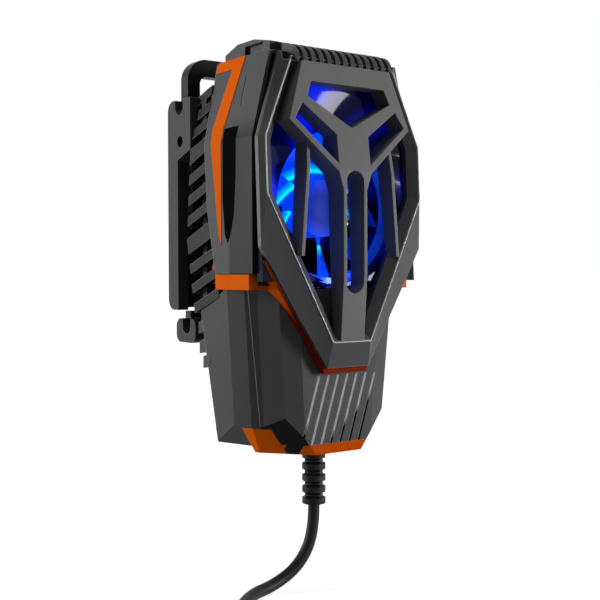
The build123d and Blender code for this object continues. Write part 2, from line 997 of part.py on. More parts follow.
def lamps(extra):
    """Return the row of small lamps on the light board, each grown by a clearance."""
    reach = (duct_bore / 2 + light_bore / 2) / 2
    side = led_side + 2 * extra
    pieces = []
    for index in range(leds):
        middle = place(0, light_place + light_thick - led_rise / 2, fan_height)
        lamp = Pos(reach, 0, 0) * Box(side, led_rise + 2 * extra, side)
        pieces.append(Pos(*middle) * Rot(0, index * 360 / leds, 0) * lamp)
    return pieces


def light_ring():
    """Return the light guide ring just inside the duct, with a pocket for each lamp."""
    ring = fan_axis(light_place, light_place + light_thick, duct_bore / 2, light_bore / 2)
    return ring - lamps(running_gap / 2)


def light_board():
    """Return the ring circuit board behind the light guide, with its row of lamps."""
    near = light_place + light_thick
    return fan_axis(near, near + light_board_thick, duct_bore / 2, light_bore / 2) + lamps(0)


def fan_axis(near, far, outer, inner=0.0):
    """Return a ring about the fan's axis between two depths."""
    ring = turned(outer, near, far)
    if inner > 0:
        ring -= turned(inner, near - cut_overrun, far + cut_overrun)
    return ring


def blade(angle):
    """Return one twisted blade, from inside the hub's wall to the tip."""
    axis = place(0, impeller_front + impeller_length / 2, fan_height)
    sections = []
    for reach, chord, turn in (
        (hub_reach - blade_sink, blade_root_length, blade_root_turn),
        (impeller_reach + cut_overrun / 2, blade_tip_length, blade_tip_turn),
    ):
        radial = Plane(origin=(reach, 0, 0), x_dir=(0, 1, 0), z_dir=(1, 0, 0))
        sections.append(radial * Rot(0, 0, turn) * Rectangle(chord, blade_thick))
    return Pos(*axis) * Rot(0, angle, 0) * loft(sections, ruled=True)


def impeller():
    """Return the hub cup with its blades."""
    far = impeller_front + impeller_length
    hub = fan_axis(impeller_front, far, hub_reach)
    blades = [blade(index * 360 / blade_count) for index in range(blade_count)]
    wheel = (hub + blades) & fan_axis(impeller_front, far, impeller_reach)
    return wheel - fan_axis(rotor_front, far + cut_overrun, rotor_reach)


def rotor_cup():
    """Return the steel cup pressed into the hub."""
    cup = fan_axis(rotor_front, rotor_front + rotor_length, rotor_reach)
    cup -= fan_axis(rotor_front + rotor_wall, rotor_front + rotor_length + cut_overrun, magnet_reach)
    return cup - fan_axis(rotor_front - cut_overrun, rotor_front + cut_overrun, shaft_size / 2)


def rotor_magnet():
    """Return the ring magnet inside the cup."""
    near = rotor_front + rotor_length - magnet_length
    return fan_axis(near, near + magnet_length, magnet_reach, magnet_inner)


def motor_shaft():
    """Return the shaft held by the cup and run in the bearing."""
    return fan_axis(rotor_front, rotor_front + shaft_length, shaft_size / 2)


def motor_bearing():
    """Return the plain sleeve bearing."""
    bore = shaft_size / 2 + bearing_clearance
    return fan_axis(bearing_back - bearing_length, bearing_back, bearing_size / 2, bore)


def stator():
    """Return the stack of the stator: a ring with T-shaped poles."""
    near = stator_place
    far = near + stator_thick
    middle = Pos(*place(0, (near + far) / 2, fan_height))
    ring = fan_axis(near, far, tube_reach + stator_ring)
    shoes = fan_axis(near, far, stator_reach, stator_reach - stator_shoe)
    reach = stator_reach - stator_shoe / 2
    arm = Pos(reach / 2, 0, 0) * Box(reach, stator_thick, stator_arm)
    gap = Pos(stator_reach, 0, 0) * Box(stator_shoe * 3, stator_thick * 2, stator_arm)
    step = 360 / stator_poles
    arms = [middle * Rot(0, index * step, 0) * arm for index in range(stator_poles)]
    gaps = [middle * Rot(0, (index + 1 / 2) * step, 0) * gap for index in range(stator_poles)]
    body = ring + (shoes - gaps) + arms
    return body - fan_axis(near - cut_overrun, far + cut_overrun, tube_reach)


def stator_coils():
    """Return the windings round the stator's poles, one solid each."""
    near = stator_place
    far = near + stator_thick
    inner = tube_reach + stator_ring
    outer = stator_reach - stator_shoe
    middle = Pos(*place(0, (near + far) / 2, fan_height))
    around = fan_axis(near - cut_overrun, far + cut_overrun, outer, inner)
    wound = Box(coil_length, stator_thick + 2 * coil_rise, stator_arm + 2 * coil_rise)
    wound = Pos((inner + outer) / 2, 0, 0) * (wound - Box(coil_length * 2, stator_thick, stator_arm))
    turns = [Rot(0, index * 360 / stator_poles, 0) for index in range(stator_poles)]
    return group([(middle * turn * wound) & around for turn in turns])


def motor_board():
    """Return the small round driver board on the motor's base."""
    return fan_axis(spider_front - motor_board_thick, spider_front, motor_board_reach, tube_reach)


def slanted_rib(foot, thick):
    """Return one rib across the body, its lower rear edge at a height, rising to the front."""
    rise = (cage_back_wide - cage_front) * tan(radians(rib_slope))
    tall = thick / cos(radians(rib_slope))
    points = [
        (cage_back_wide, foot),
        (cage_back_wide, foot + tall),
        (cage_front, foot + rise + tall),
        (cage_front, foot + rise),
    ]
    return across(points, cage_half)


def rib_feet():
    """Return the height and thickness of every rib from the lowest up."""
    feet = [(low_rib_foot + index * low_rib_pitch, rib_thick) for index in range(low_ribs)]
    feet.append((low_rib_foot + low_ribs * low_rib_pitch, rib_thick_low_wide))
    feet += [(high_rib_foot + index * high_rib_pitch, rib_thick) for index in range(high_ribs)]
    feet.append((high_rib_foot + high_ribs * high_rib_pitch, rib_thick_high_wide))
    return feet + [(top_rib_foot + index * top_rib_pitch, rib_thick) for index in range(top_ribs)]


def cage_profile():
    """Return the cage's front-to-back outline as a solid right across."""
    points = [
        (cage_front, cage_back_top_height),
        (cage_back_top, cage_back_top_height),
        (cage_back_neck, cage_back_neck_height),
        (ear_front, frame_top),
        (ear_front, ear_foot),
        (cage_back_wide, cage_back_wide_height),
        (cage_back_foot, cage_back_foot_height),
        (cage_front, cage_back_foot_height),
    ]
    half = [
        (cage_top_half, cage_back_top_height),
        (cage_half, housing_shoulder),
        (cage_half, cage_back_foot_height),
    ]
    return across(points, cage_half) & slab(half, cage_front, cage_back_wide)


def cage_core():
    """Return the square core that the ribs run into, with a closed rear plate."""
    inner = cage_core_half - cage_wall
    height = (cage_core_foot, cage_core_top)
    core = block((-cage_core_half, cage_core_half), (core_back, cage_core_back), height)
    height = (cage_core_foot + cage_wall, cage_core_top - cage_wall)
    return core - block((-inner, inner), (0, cage_core_back - cage_wall), height)


def rib_cage(accent):
    """Return the ribbed cage: slanted ribs, two posts and a square core with four bosses."""
    inner = cage_core_half - cage_wall
    side = pair(block((inner, housing_half + cut_overrun), (0, mount_depth), (0, louvre_top)))
    height = (cage_post_foot, cage_back_neck_height)
    depth = (cage_post_depth, cage_post_depth + cage_post)
    post = block((cage_post_half - cage_post / 2, cage_post_half + cage_post / 2), depth, height)
    ribs = Part() + [slanted_rib(foot, thick) & side for foot, thick in rib_feet()]
    cage = (ribs + cage_core() + pair(post)) & cage_profile()
    height = (ear_gap_foot, ear_gap_foot + ear_gap_rise)
    cage -= block((-cage_half, cage_half), (ear_front - ear_gap, mount_depth), height)
    for x in (-boss_half, boss_half):
        for height in (boss_low, boss_high):
            cage += turned(boss_reach, cage_core_back - cage_wall / 2, block_front, x, height)
            cage -= turned(screw_size / 2, cage_core_back - cage_wall, block_front + cut_overrun, x, height)
    return cage - housing_side() - accent - lower_form() - lower_rear_shell()


def plate_outline():
    """Return the rounded side outline of the clamp frame."""
    top = [(ear_front, frame_top), (mount_depth, frame_top)]
    foot = [(mount_depth, frame_foot), (ear_front, frame_foot)]
    profile = make_face(Polyline(*top, *foot, close=True))
    return fillet(profile.vertices().sort_by(Axis.X)[-2:], frame_corner)


def frame_profile():
    """Return the side profile of the clamp frame's cheeks, with its notch and pin hole."""
    points = [
        (ear_front, ear_foot),
        (frame_rail_front, ear_slope_foot),
        (frame_rail_front, frame_foot),
        (ear_front, frame_foot),
    ]
    relief = make_face(Polyline(*points, close=True))
    half = notch_width / 2
    middle = (notch_foot + half + frame_top + cut_overrun) / 2
    notch = Pos(notch_place, middle) * Rectangle(notch_width, frame_top + cut_overrun - notch_foot - half)
    notch += Pos(notch_place, notch_foot + half) * Circle(half)
    pin = Pos(pin_hole_place, pin_hole_height) * Circle(pin_hole / 2)
    return side_plane * (plate_outline() - relief - notch - pin)


def frame_block():
    """Return the clamp frame's middle block with the sleeve that the jaw's tongue runs in."""
    plate_front = mount_depth - frame_plate
    middle = block((-block_half, block_half), (block_front, plate_front), (block_foot, block_top))
    reach = tongue_half + slide_clearance
    depth = (tongue_front - slide_clearance, tongue_front + tongue_thick + slide_clearance)
    return middle - block((-reach, reach), depth, (0, sleeve_top))


def back_frame():
    """Return the clamp frame: two cheeks with ears, a rear plate, the block and the arch's lips."""
    cheek_inner = frame_half - frame_rail_width
    cheeks = extrude(frame_profile(), frame_half, both=True)
    cheeks -= block((-cheek_inner, cheek_inner), (0, mount_depth), (0, louvre_top))
    plate = extrude(side_plane * plate_outline(), frame_half, both=True)
    plate &= block((-frame_half, frame_half), (mount_depth - frame_plate, mount_depth), (0, louvre_top))
    frame = cheeks + plate + frame_block()
    lip = (block_half, cheek_inner - keeper_gap)
    for height in ((keeper_foot, keeper_gap_foot), (keeper_gap_top, block_top)):
        frame += pair(block(lip, (keeper_front, frame_rail_front), height))
    for x in (-boss_half, boss_half):
        for height in (boss_low, boss_high):
            frame -= turned(screw_size / 2, block_front - cut_overrun, mount_depth, x, height)
            frame -= turned(screw_head / 2, screw_seat, mount_depth + cut_overrun, x, height)
    return frame


def hanger_arch():
    """Return the arch whose two legs slide in the clamp frame."""
    outer = Pos(0, (arch_top + arch_foot) / 2) * Rectangle(arch_half * 2, arch_top - arch_foot)
    outer = fillet(outer.vertices().sort_by(Axis.Y)[-2:], arch_round)
    inner_half = arch_half - arch_leg_width
    top = arch_top - arch_bar
    inner = Pos(0, (top + arch_foot) / 2) * Rectangle(inner_half * 2, top - arch_foot)
    inner = fillet(inner.vertices().sort_by(Axis.Y)[-2:], arch_round - arch_leg_width)
    return extrude(front_plane.offset(-arch_back) * (outer - inner), arch_back - arch_front)


def clamp_jaw():
    """Return the lower jaw: a grooved hook, its neck and the tongue that slides in the frame."""
    hook = make_face(Polyline(
        (jaw_front, jaw_top), (jaw_back, jaw_top), (jaw_back, jaw_foot), (jaw_front, jaw_foot), close=True
    ))
    hook = fillet(hook.vertices(), jaw_corner)
    half = jaw_groove_width / 2
    groove = Pos(jaw_groove_place, (jaw_groove_foot + half + jaw_top + cut_overrun) / 2)
    groove = groove * Rectangle(jaw_groove_width, jaw_top + cut_overrun - jaw_groove_foot - half)
    groove += Pos(jaw_groove_place, jaw_groove_foot + half) * Circle(half)
    jaw = extrude(side_plane * (hook - groove), jaw_half, both=True)
    far = tongue_front + tongue_thick
    jaw += block((-neck_half, neck_half), (tongue_front, far), (jaw_top - jaw_corner, neck_top))
    return jaw + block((-tongue_half, tongue_half), (tongue_front, far), (jaw_top - jaw_corner, tongue_top))


def screw(x, height, head_depth, length, forward=True):
    """Return one countersunk-free pan screw, its head behind the given depth or before it."""
    if forward:
        head = turned(screw_head / 2, head_depth, head_depth + screw_head_rise, x, height)
        return head + turned(screw_size / 2, head_depth - length, head_depth, x, height)
    head = turned(screw_head / 2, head_depth - screw_head_rise, head_depth, x, height)
    return head + turned(screw_size / 2, head_depth, head_depth + length, x, height)


def group(pieces):
    """Return separate solids as one node."""
    return Compound(children=[Solid(piece.solid().wrapped) for piece in pieces])


def frame_screws():
    """Return the four screws that hold the clamp frame to the cage."""
    return group([
        screw(x, height, screw_seat, screw_length)
        for x in (-boss_half, boss_half) for height in (boss_low, boss_high)
    ])


def shell_screws():
    """Return the two screws that join the lower shells."""
    seat = lower_seam + screw_length / 2
    sides = (-shell_boss_half, shell_boss_half)
    return group([screw(x, shell_boss_height, seat, screw_length) for x in sides])


def board_screws():
    """Return the two screws of the control board."""
    height = board_foot + board_height / 2
    return group([
        screw(x, height, board_depth, short_screw_length, forward=False)
        for x in (-board_boss_half, board_boss_half)
    ])


def control_board():
    """Return the fan's control board with its driver chip."""
    top = board_foot + board_height
    board = block((-board_half, board_half), (board_depth, board_depth + board_thick), (board_foot, top))
    middle = board_foot + board_height / 2
    chip = block(
        (-driver_side / 2, driver_side / 2), (board_depth - driver_rise, board_depth),
        (middle, middle + driver_side),
    )
    holes = pair(turned(screw_size / 2, 0, mount_depth, board_boss_half, middle))
    return board + chip - holes


def lead_socket():
    """Return the socket on the board where the lead's wires plug in."""
    return block(
        (-socket_side / 2, socket_side / 2),
        (board_depth - socket_rise, board_depth),
        (board_foot, board_foot + socket_height),
    )


def strain_relief():
    """Return the ribbed strain relief, with the two collars that hold it in the floor."""
    relief = standing(gland_core / 2, gland_foot, -trim_thick, 0, gland_depth)
    relief += standing(gland_neck / 2, -trim_thick - gland_collar_rise, gland_top, 0, gland_depth)
    relief += standing(gland_collar / 2, hollow_foot, gland_top, 0, gland_depth)
    relief += standing(gland_collar / 2, -trim_thick - gland_collar_rise, -trim_thick, 0, gland_depth)
    for index in range(gland_ribs):
        low = gland_foot + index * gland_pitch
        relief += standing(gland_rib / 2, low, low + gland_rib_length, 0, gland_depth)
    return relief


def path_tube(path, heading):
    """Return a round tube of the cord's size along a path that starts in a direction."""
    section = Plane(origin=path @ 0, z_dir=heading) * Circle(cord_size / 2)
    return sweep(section, path=path)


def free_path(route, name):
    """Return the cord's path along a route: straight runs joined by arcs as large as they allow."""
    radii = []
    for index in range(1, len(route) - 1):
        before = route[index] - route[index - 1]
        after = route[index + 1] - route[index]
        turn = radians(before.get_angle(after))
        radii.append(arc_share * min(before.length, after.length) / tan(turn / 2))
    print(name, "radii", [round(radius, 1) for radius in radii])
    return FilletPolyline(*route, radius=radii)


def coil_points():
    """Return the ends and middles of the coil's half turns, spiralling in, up and out again."""
    along = (lead_route[-1] - lead_route[-2]).normalized()
    left = Vector(-along.Y, along.X, 0)
    up = Vector(0, 0, coil_pitch)
    step = coil_pitch / 2
    outer = coil_across / 2 + step * half_turns_inward / 2
    half_turns = []
    start = lead_route[-1]
    for index in range(2 * half_turns_inward):
        inward = index if index <= half_turns_inward else 2 * half_turns_inward - index
        reach = outer - step * inward
        way = 1 if index % 2 == 0 else -1
        end = start + left * (2 * reach * way)
        if index == half_turns_inward:
            end += up
        middle = (start + end) / 2 + along * ((end - start).length / 2 * way)
        half_turns.append((start, middle, end))
        start = end
    return half_turns


def least_gap(path):
    """Return the least gap of a coiled cord to itself, measured on points of its path."""
    count = gap_points
    points = [path @ (index / count) for index in range(count + 1)]
    step = path.length / count
    apart = int(2 * cord_size / step) + 1
    least = min(
        (points[first] - points[second]).length
        for first in range(0, count + 1)
        for second in range(first + apart, count + 1)
    )
    return least - cord_size


def cable():
    """Return the free stretch of the cord from the strain relief to the coil."""
    path = free_path(lead_route, "cable")
    tube = path_tube(path, lead_route[1] - lead_route[0])
    wanted = pi * (cord_size / 2) ** 2 * path.length
    print("cable length", round(path.length, 1), "volume share", round(tube.volume / wanted, 4))
    return tube


def cable_coil():
    """Return the coiled rest of the cord: a spiral in, a climb and a spiral out above it."""
    half_turns = coil_points()
    path = Wire([ThreePointArc(*half_turn) for half_turn in half_turns])
    tube = path_tube(path, lead_route[-1] - lead_route[-2])
    wanted = pi * (cord_size / 2) ** 2 * path.length
    print("coil length", round(path.length, 1), "volume share", round(tube.volume / wanted, 4))
    print("coil least gap", round(least_gap(path), 3))
    return tube


def tail_route():
    """Return the points of the cord's last stretch, from the coil to the plug."""
    start = coil_points()[-1][2]
    along = (lead_route[-1] - lead_route[-2]).normalized()
    left = Vector(-along.Y, along.X, 0)
    return [start] + [
        start + along * ahead + left * aside + Vector(0, 0, rise) for ahead, aside, rise in tail_steps
    ]


def cable_tail():
    """Return the last stretch of the cord, from the coil to the plug."""
    route = tail_route()
    path = free_path(route, "tail")
    tube = path_tube(path, route[1] - route[0])
    wanted = pi * (cord_size / 2) ** 2 * path.length
    print("tail length", round(path.length, 1), "volume share", round(tube.volume / wanted, 4))
    return tube


def cable_tie():
    """Return the strap round the four strands on the far side of the coil."""
    along = (lead_route[-1] - lead_route[-2]).normalized()
    left = Vector(-along.Y, along.X, 0)
    outer = coil_across / 2 + coil_pitch * half_turns_inward / 4
    centre = lead_route[-1] + left * outer
    reach = coil_across / 2
    half_width = coil_pitch / 2 + cord_size / 2 + tie_play
    height = coil_pitch + cord_size + 2 * tie_gap
    middle = centre - along * reach + Vector(0, 0, coil_pitch / 2)
    frame = Plane(origin=middle, x_dir=along, z_dir=left)
    ring = Box(2 * (half_width + tie_wall), height + 2 * tie_wall, tie_width)
    ring = fillet(ring.edges().filter_by(Axis.Z), tie_wall)
    return frame * (ring - Box(2 * half_width, height, 2 * tie_width))


def plug_plane():
    """Return the frame at the plug's rear face, its z axis along the plug."""
    route = tail_route()
    return Plane(origin=route[-1], x_dir=(0, 0, 1), z_dir=route[-1] - route[-2])


def along_plug(width, thick, near, far):
    """Return a box along the plug's axis between two distances from its rear face."""
    middle = plug_plane().offset((near + far) / 2)
    return middle * Box(thick, width, far - near)


def plug_overmould():
    """Return the moulded grip of the plug."""
    grip = Box(plug_thick, plug_width, plug_length)
    grip = fillet(grip.edges().filter_by(Axis.Z), plug_round)
    return plug_plane().offset(plug_length / 2) * grip


def usb_shell():
    """Return the folded metal shell of the plug's contact end."""
    far = plug_length + shell_length
    shell = along_plug(shell_width, shell_thick, plug_length, far)
    inner = shell_width - 2 * shell_wall
    return shell - along_plug(inner, shell_thick - 2 * shell_wall, plug_length, far + cut_overrun)


def usb_tongue():
    """Return the insulating tongue inside the metal shell."""
    inner = shell_width - 2 * shell_wall
    tongue = along_plug(inner, usb_tongue_thick, plug_length, plug_length + usb_tongue_length)
    side = (shell_thick - 2 * shell_wall - usb_tongue_thick) / 2
    return Pos(0, 0, -side) * tongue


def main():
    os.makedirs("parts", exist_ok=True)
    accent = accent_frame()
    write("front_cover", front_cover())
    write("y_grille", y_grille())
    write("top_louvre", top_louvre())
    write("upper_housing", upper_housing())
    write("accent_frame", accent)
    write("lower_front_shell", lower_front_shell())
    write("lower_rear_shell", lower_rear_shell())
    write("bottom_trim", bottom_trim())
    write("rib_cage", rib_cage(accent))
    write("back_frame", back_frame())
    write("hanger_arch", hanger_arch())
    write("clamp_jaw", clamp_jaw())
    write("fan_duct", fan_duct())
    write("light_ring", light_ring())
    write("light_board", light_board())
    write("impeller", impeller())
    write("rotor_cup", rotor_cup())
    write("rotor_magnet", rotor_magnet())
    write("motor_shaft", motor_shaft())
    write("motor_bearing", motor_bearing())
    write("stator", stator())
    write("stator_coils", stator_coils())
    write("motor_board", motor_board())
    write("control_board", control_board())
    write("lead_socket", lead_socket())
    write("frame_screws", frame_screws())
    write("shell_screws", shell_screws())
    write("board_screws", board_screws())
    write("strain_relief", strain_relief())
    write("cable", cable())
    write("cable_coil", cable_coil())
    write("cable_tail", cable_tail())
    write("cable_tie", cable_tie())
    write("plug_overmould", plug_overmould())
    write("usb_shell", usb_shell())
    write("usb_tongue", usb_tongue())


main()
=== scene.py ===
"""Looks of the clip-on cooling fan: its finishes, its lead and a plain studio.

The file is laid out as a Blender add-on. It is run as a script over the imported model.
Lengths are in metres in the model's own frame: +Z up, the front faces -Y.
"""

from math import cos, pi, radians, sin

import bmesh
import bpy
import numpy as np
from bpy.props import FloatProperty, FloatVectorProperty, IntProperty, PointerProperty
from mathutils import Matrix, Vector


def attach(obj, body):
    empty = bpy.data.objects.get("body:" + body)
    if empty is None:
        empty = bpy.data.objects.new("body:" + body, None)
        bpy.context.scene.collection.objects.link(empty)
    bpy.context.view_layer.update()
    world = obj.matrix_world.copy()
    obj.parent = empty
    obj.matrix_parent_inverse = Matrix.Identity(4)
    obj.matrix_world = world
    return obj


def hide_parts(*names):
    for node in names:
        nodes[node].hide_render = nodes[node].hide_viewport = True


bl_info = {
    "name": "Clip-on cooling fan",
    "version": (1, 0, 0),
    "blender": (4, 5, 0),
    "location": "3D View > Sidebar > Cooling fan",
    "description": "Dresses the packed cooling fan and sets up its studio",
    "category": "Object",
}

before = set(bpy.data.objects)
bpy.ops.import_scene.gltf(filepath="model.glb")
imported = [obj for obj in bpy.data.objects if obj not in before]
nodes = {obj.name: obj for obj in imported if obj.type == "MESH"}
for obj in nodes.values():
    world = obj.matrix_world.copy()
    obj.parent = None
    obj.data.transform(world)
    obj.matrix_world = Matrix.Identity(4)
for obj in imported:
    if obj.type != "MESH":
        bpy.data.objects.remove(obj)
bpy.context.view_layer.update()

BODY = "fan_body"
UP = Vector((0.0, 0.0, 1.0))
BLACK = (0.0, 0.0, 0.0, 1.0)
WHITE = (1.0, 1.0, 1.0, 1.0)

# The model's origin, measured back from the rim's plane and up from the body's foot
ORIGIN_DEPTH = 0.054
ORIGIN_HEIGHT = 0.072

# Eroded grain of the moulded parts, the rounding of their edges, and the paler colour along them,
# partly wear and partly painted highlight
GRAIN = 3200.0
GRAIN_DEPTH = 0.00002
EDGE_RADIUS = 0.0003
WORN_AND_HIGHLIT_SHARE = 0.3

# Fan, its duct and the curved flutes of the bowl round it
FAN_AXIS = (0.0, 0.0, -0.0025)
FAN_RADIUS = 0.022
DUCT_RADIUS = 0.0229
DUCT_MOUTH = -0.048
FLUTES = 7.0
FLUTE_TWIST = 230.0

# Painted fall-off of the fan's light from the left: the places across between which it falls, and its
# share at the right
LIGHT_ACROSS = (-0.004, 0.02)
LIGHT_FAR_SHARE = 0.12

# Cover's opening ahead of the bowl, which bounds the bowl's painted light: edge of its half
# width, and the heights from which it narrows with their slopes
SHIELD_EDGE = (0.0246, 0.025)
SHIELD_ABOVE = (0.0165, 0.3)
SHIELD_BELOW = (-0.018, -0.5)

# Side of the housing: upright to its shoulder, leaning in above it
SIDE_HALF = 0.0294
SHOULDER = 0.0165
SIDE_LEAN = 0.237

# Painted shade on the front half of the housing, near black: the depths and the heights over which it
# sets in
FRONT_SHADE_DEPTH = (-0.036, -0.0375)
FRONT_SHADE_HEIGHT = (0.024, 0.016)

# Near-black plate on each side of the housing, painted shade over its long recess: its outline as
# (back, up), and its lift off the side by the share of the way in
SHADE_PLATE_OUTLINE = (
    (-0.0334, 0.0205),
    (-0.0408, 0.0205),
    (-0.0404, 0.0048),
    (-0.0394, -0.0052),
    (-0.0376, -0.0108),
    (-0.0361, -0.0134),
    (-0.0345, -0.0107),
    (-0.0333, -0.0005),
)
SHADE_PLATE_RIM = ((0.0, -0.0001), (0.01, 0.00002), (0.03, 0.00008))
SHADE_PLATE_ROWS = (0.06, 0.999, 40)

# Slanted grooves of the lower front, numbered from the middle one
GROOVE_FOOT = -ORIGIN_HEIGHT
GROOVE_RISE = 0.0202
GROOVE_PITCH = 0.0035
GROOVE_LEAN = 0.292
GROOVE_MIDDLE_FOOT = -0.00295
GROOVE_HALF_SHARE = 0.105
GROOVE_LAST = 3.4

# Painted highlight in the grooves: above a rising line, and right of the front face's edge; below it
# they get painted shade
GROOVE_HIGHLIGHT_SLOPE = 0.75
GROOVE_HIGHLIGHT_HEIGHT = (GROOVE_FOOT + 0.003, GROOVE_FOOT + 0.005)
FRONT_EDGE = -0.0121

# Faces that look down or ahead, which get painted shade, by the part of their direction that does
FACING_DOWN = (-0.25, -0.4)
FACING_AHEAD = (-0.8, -0.95)

# Chin of the accent frame: ahead of a depth, and deeper in colour by painted shade over a range of
# heights
CHIN_DEPTH = -0.04
CHIN_HEIGHT = (-0.026, -0.034)

# Crest of the cover's rim, on a plane that leans back about a level line; a pale wire along it stands
# as a painted highlight
CREST_HALF = ((0.0186, 0.1115), (0.0282, 0.0885), (0.0282, 0.0723), (0.0069, 0.0302))
CREST_LEAN = radians(2.8)
CREST_PIVOT = 0.091
CREST_WIRE = 0.00018

# Route of the lead, from its strain relief down on to the resting surface and to the coil
LEAD_ROUTE = (
    (0.0, -0.038, -0.0923),
    (0.0, -0.038, -0.1015),
    (-0.0054, -0.038, -0.1104),
    (-0.0146, -0.038, -0.115),
    (-0.027, -0.042, -0.115),
    (-0.044, -0.0602, -0.115),
    (-0.0589, -0.0807, -0.115),
)
LEAD_TOP = Vector(LEAD_ROUTE[0])

# Steps of the tail from the coil's end to the plug: ahead, to the left and up
TAIL_STEPS = (
    (0.0, 0.0, 0.0),
    (0.0045, 0.0, 0.0),
    (0.0095, 0.0005, 0.0029),
    (0.014, 0.0053, 0.0059),
    (0.014, 0.013, 0.0059),
)

# The coil spirals in, climbs a layer at its narrowest half turn and spirals out again
COIL_PITCH = 0.0041
COIL_RADIUS = 0.0198
COIL_SHIFTS = (2, 1, 0, -1, -2, -1, 0, 1)
COIL_CLIMB = 4
COIL_STEPS = 8

# Strap round the coil's strands
STRAP_HALF_WIDE = 0.0047
STRAP_HALF_HIGH = 0.0040
STRAP_BAND = ((0.0, -0.0019), (0.0006, -0.0020), (0.0006, 0.0020), (0.0, 0.0019))
STRAP_POWER = 0.16

# Strain relief, from its foot up to the collar inside the wall
RELIEF_FOOT = LEAD_ROUTE[0][2]
RELIEF_LIP = -0.0767
RELIEF_WALL = -0.075
RELIEF_TOP = -0.0639
RELIEF_BORE = 0.0019
RELIEF_WAIST = 0.004
RELIEF_COLLAR = 0.0053
COLLAR_THICK = 0.0017
RIB_WIDTH = 0.002
RIB_EDGE_SHARE = 0.07
SOFTENING = 0.0001

# Flexing slots between its ribs: their direction and spread, their place in a gap, their depth
SLOT_TURN = radians(225.0)
SLOT_SPREAD = (0.6, 0.85)
SLOT_PLACES = (0.3, 0.5, 0.88, 0.98)
SLOT_SINK = 0.0011
SLOTTED_RIBS = 4

# Grip of the plug, with the shares of its swell at places along it, and its rows of points
NECK_HALF = 0.0022
GRIP_HALF_WIDE = 0.008
GRIP_HALF_HIGH = 0.0029
GRIP_SWELL = ((0.0, 0.0), (0.0045, 0.25), (0.0056, 1.0), (0.025, 1.0), (0.0256, 0.97), (0.026, 0.9))
GRIP_POWER = 0.42
NECK_ROWS = (0.0, 0.005, 12)
BODY_ROWS = (0.0052, 0.0248, 80)
END_ROWS = (0.0254, 0.0258)
RIDGES_FROM = 0.0095
RIDGES_TO = 0.0215
RIDGE_PITCH = 0.002
RIDGE_SINK = 0.00035

# Floor: half its side, and the distances and greys between which it turns paler
FLOOR_HALF = 6.0
FLOOR_FADE = (0.25, 1.6)
FLOOR_GREY = (0.79, 1.0)


# Colours and sizes that a user would change


def colour(name, description, default):
    """One screen colour of the object."""
    return FloatVectorProperty(
        name=name,
        description=description,
        subtype="COLOR_GAMMA",
        size=3,
        min=0.0,
        max=1.0,
        default=default,
    )


def length(name, description, default):
    """One length of the object."""
    return FloatProperty(
        name=name, description=description, subtype="DISTANCE", unit="LENGTH", default=default
    )


class ShellFinish(bpy.types.PropertyGroup):
    """Colours and surface of the moulded shells."""

    panel: colour("Panel", "Colour of the raised front panel", (0.36, 0.36, 0.365))
    rim: colour("Rim", "Colour of the front cover and its rim", (0.24, 0.24, 0.245))
    # the pale line along the crest is a painted highlight
    crest: colour("Crest", "Colour of the polished line along the rim", (0.62, 0.62, 0.63))
    housing: colour("Housing", "Colour of the side shells and lower body", (0.26, 0.26, 0.265))
    bracket: colour("Bracket", "Colour of the clamp", (0.21, 0.21, 0.215))
    cage: colour("Cage", "Colour of the ribbed cage and the arch", (0.1, 0.1, 0.105))
    # near black of the painted shade: the side plates, the unlit part of the grooves and the corner
    # facets that look down
    painted_shade: colour("Inlay", "Colour of the side inlays and corner facets", (0.05, 0.05, 0.055))
    # colour of the painted highlight in the grooves
    groove: colour("Grooves", "Colour of the polished part of the grooves", (0.9, 0.9, 0.9))
    accent: colour("Accent", "Colour of the accent frame", (0.8, 0.34, 0.0))
    # painted shade of the accent frame under the cover's chin
    chin: colour("Chin", "Colour of the accent frame at the cover's chin", (0.42, 0.1, 0.0))
    trim: colour("Trim", "Colour of the bottom trim", (0.9, 0.39, 0.02))
    # painted shade on the trim's front
    trim_front_shade: colour("Trim front", "Colour of the bottom trim's front", (0.66, 0.25, 0.0))
    edge_radius: length("Edge radius", "Rounding of the moulded edges", EDGE_RADIUS)
    grain: FloatProperty(
        name="Grain", description="Grains of the spark-eroded texture in a metre", default=GRAIN
    )


class LightFinish(bpy.types.PropertyGroup):
    """Colours of the lit ring and of the fan in its light."""

    # the line round the hub and the deep light are painted glow in the blades
    glow: colour("Glow", "Colour of the line of light round the hub", (0.0, 0.72, 1.0))
    deep: colour("Deep light", "Colour of the light in the plastic", (0.0, 0.25, 0.95))
    blade: colour("Blades", "Colour of the translucent fan", (0.1, 0.12, 0.25))
    strength: FloatProperty(name="Strength", description="Strength of the lit ring", default=2.0)
    lamps: IntProperty(name="Lamps", description="Lamps behind the lit ring", default=12)


class LeadSizes(bpy.types.PropertyGroup):
    """Sizes of the lead and what is on it."""

    diameter: length("Diameter", "Diameter of the lead", 0.0036)
    total: length("Length", "Length of the lead from its strain relief to its plug", 0.61)
    relief_core: length("Relief core", "Radius of the strain relief between its ribs", 0.0028)
    relief_rib: length("Relief ribs", "Radius of the strain relief's ribs", 0.0036)
    rib_pitch: length("Rib pitch", "Distance from rib to rib", 0.0035)
    colour: colour("Colour", "Colour of the lead", (0.05, 0.05, 0.055))


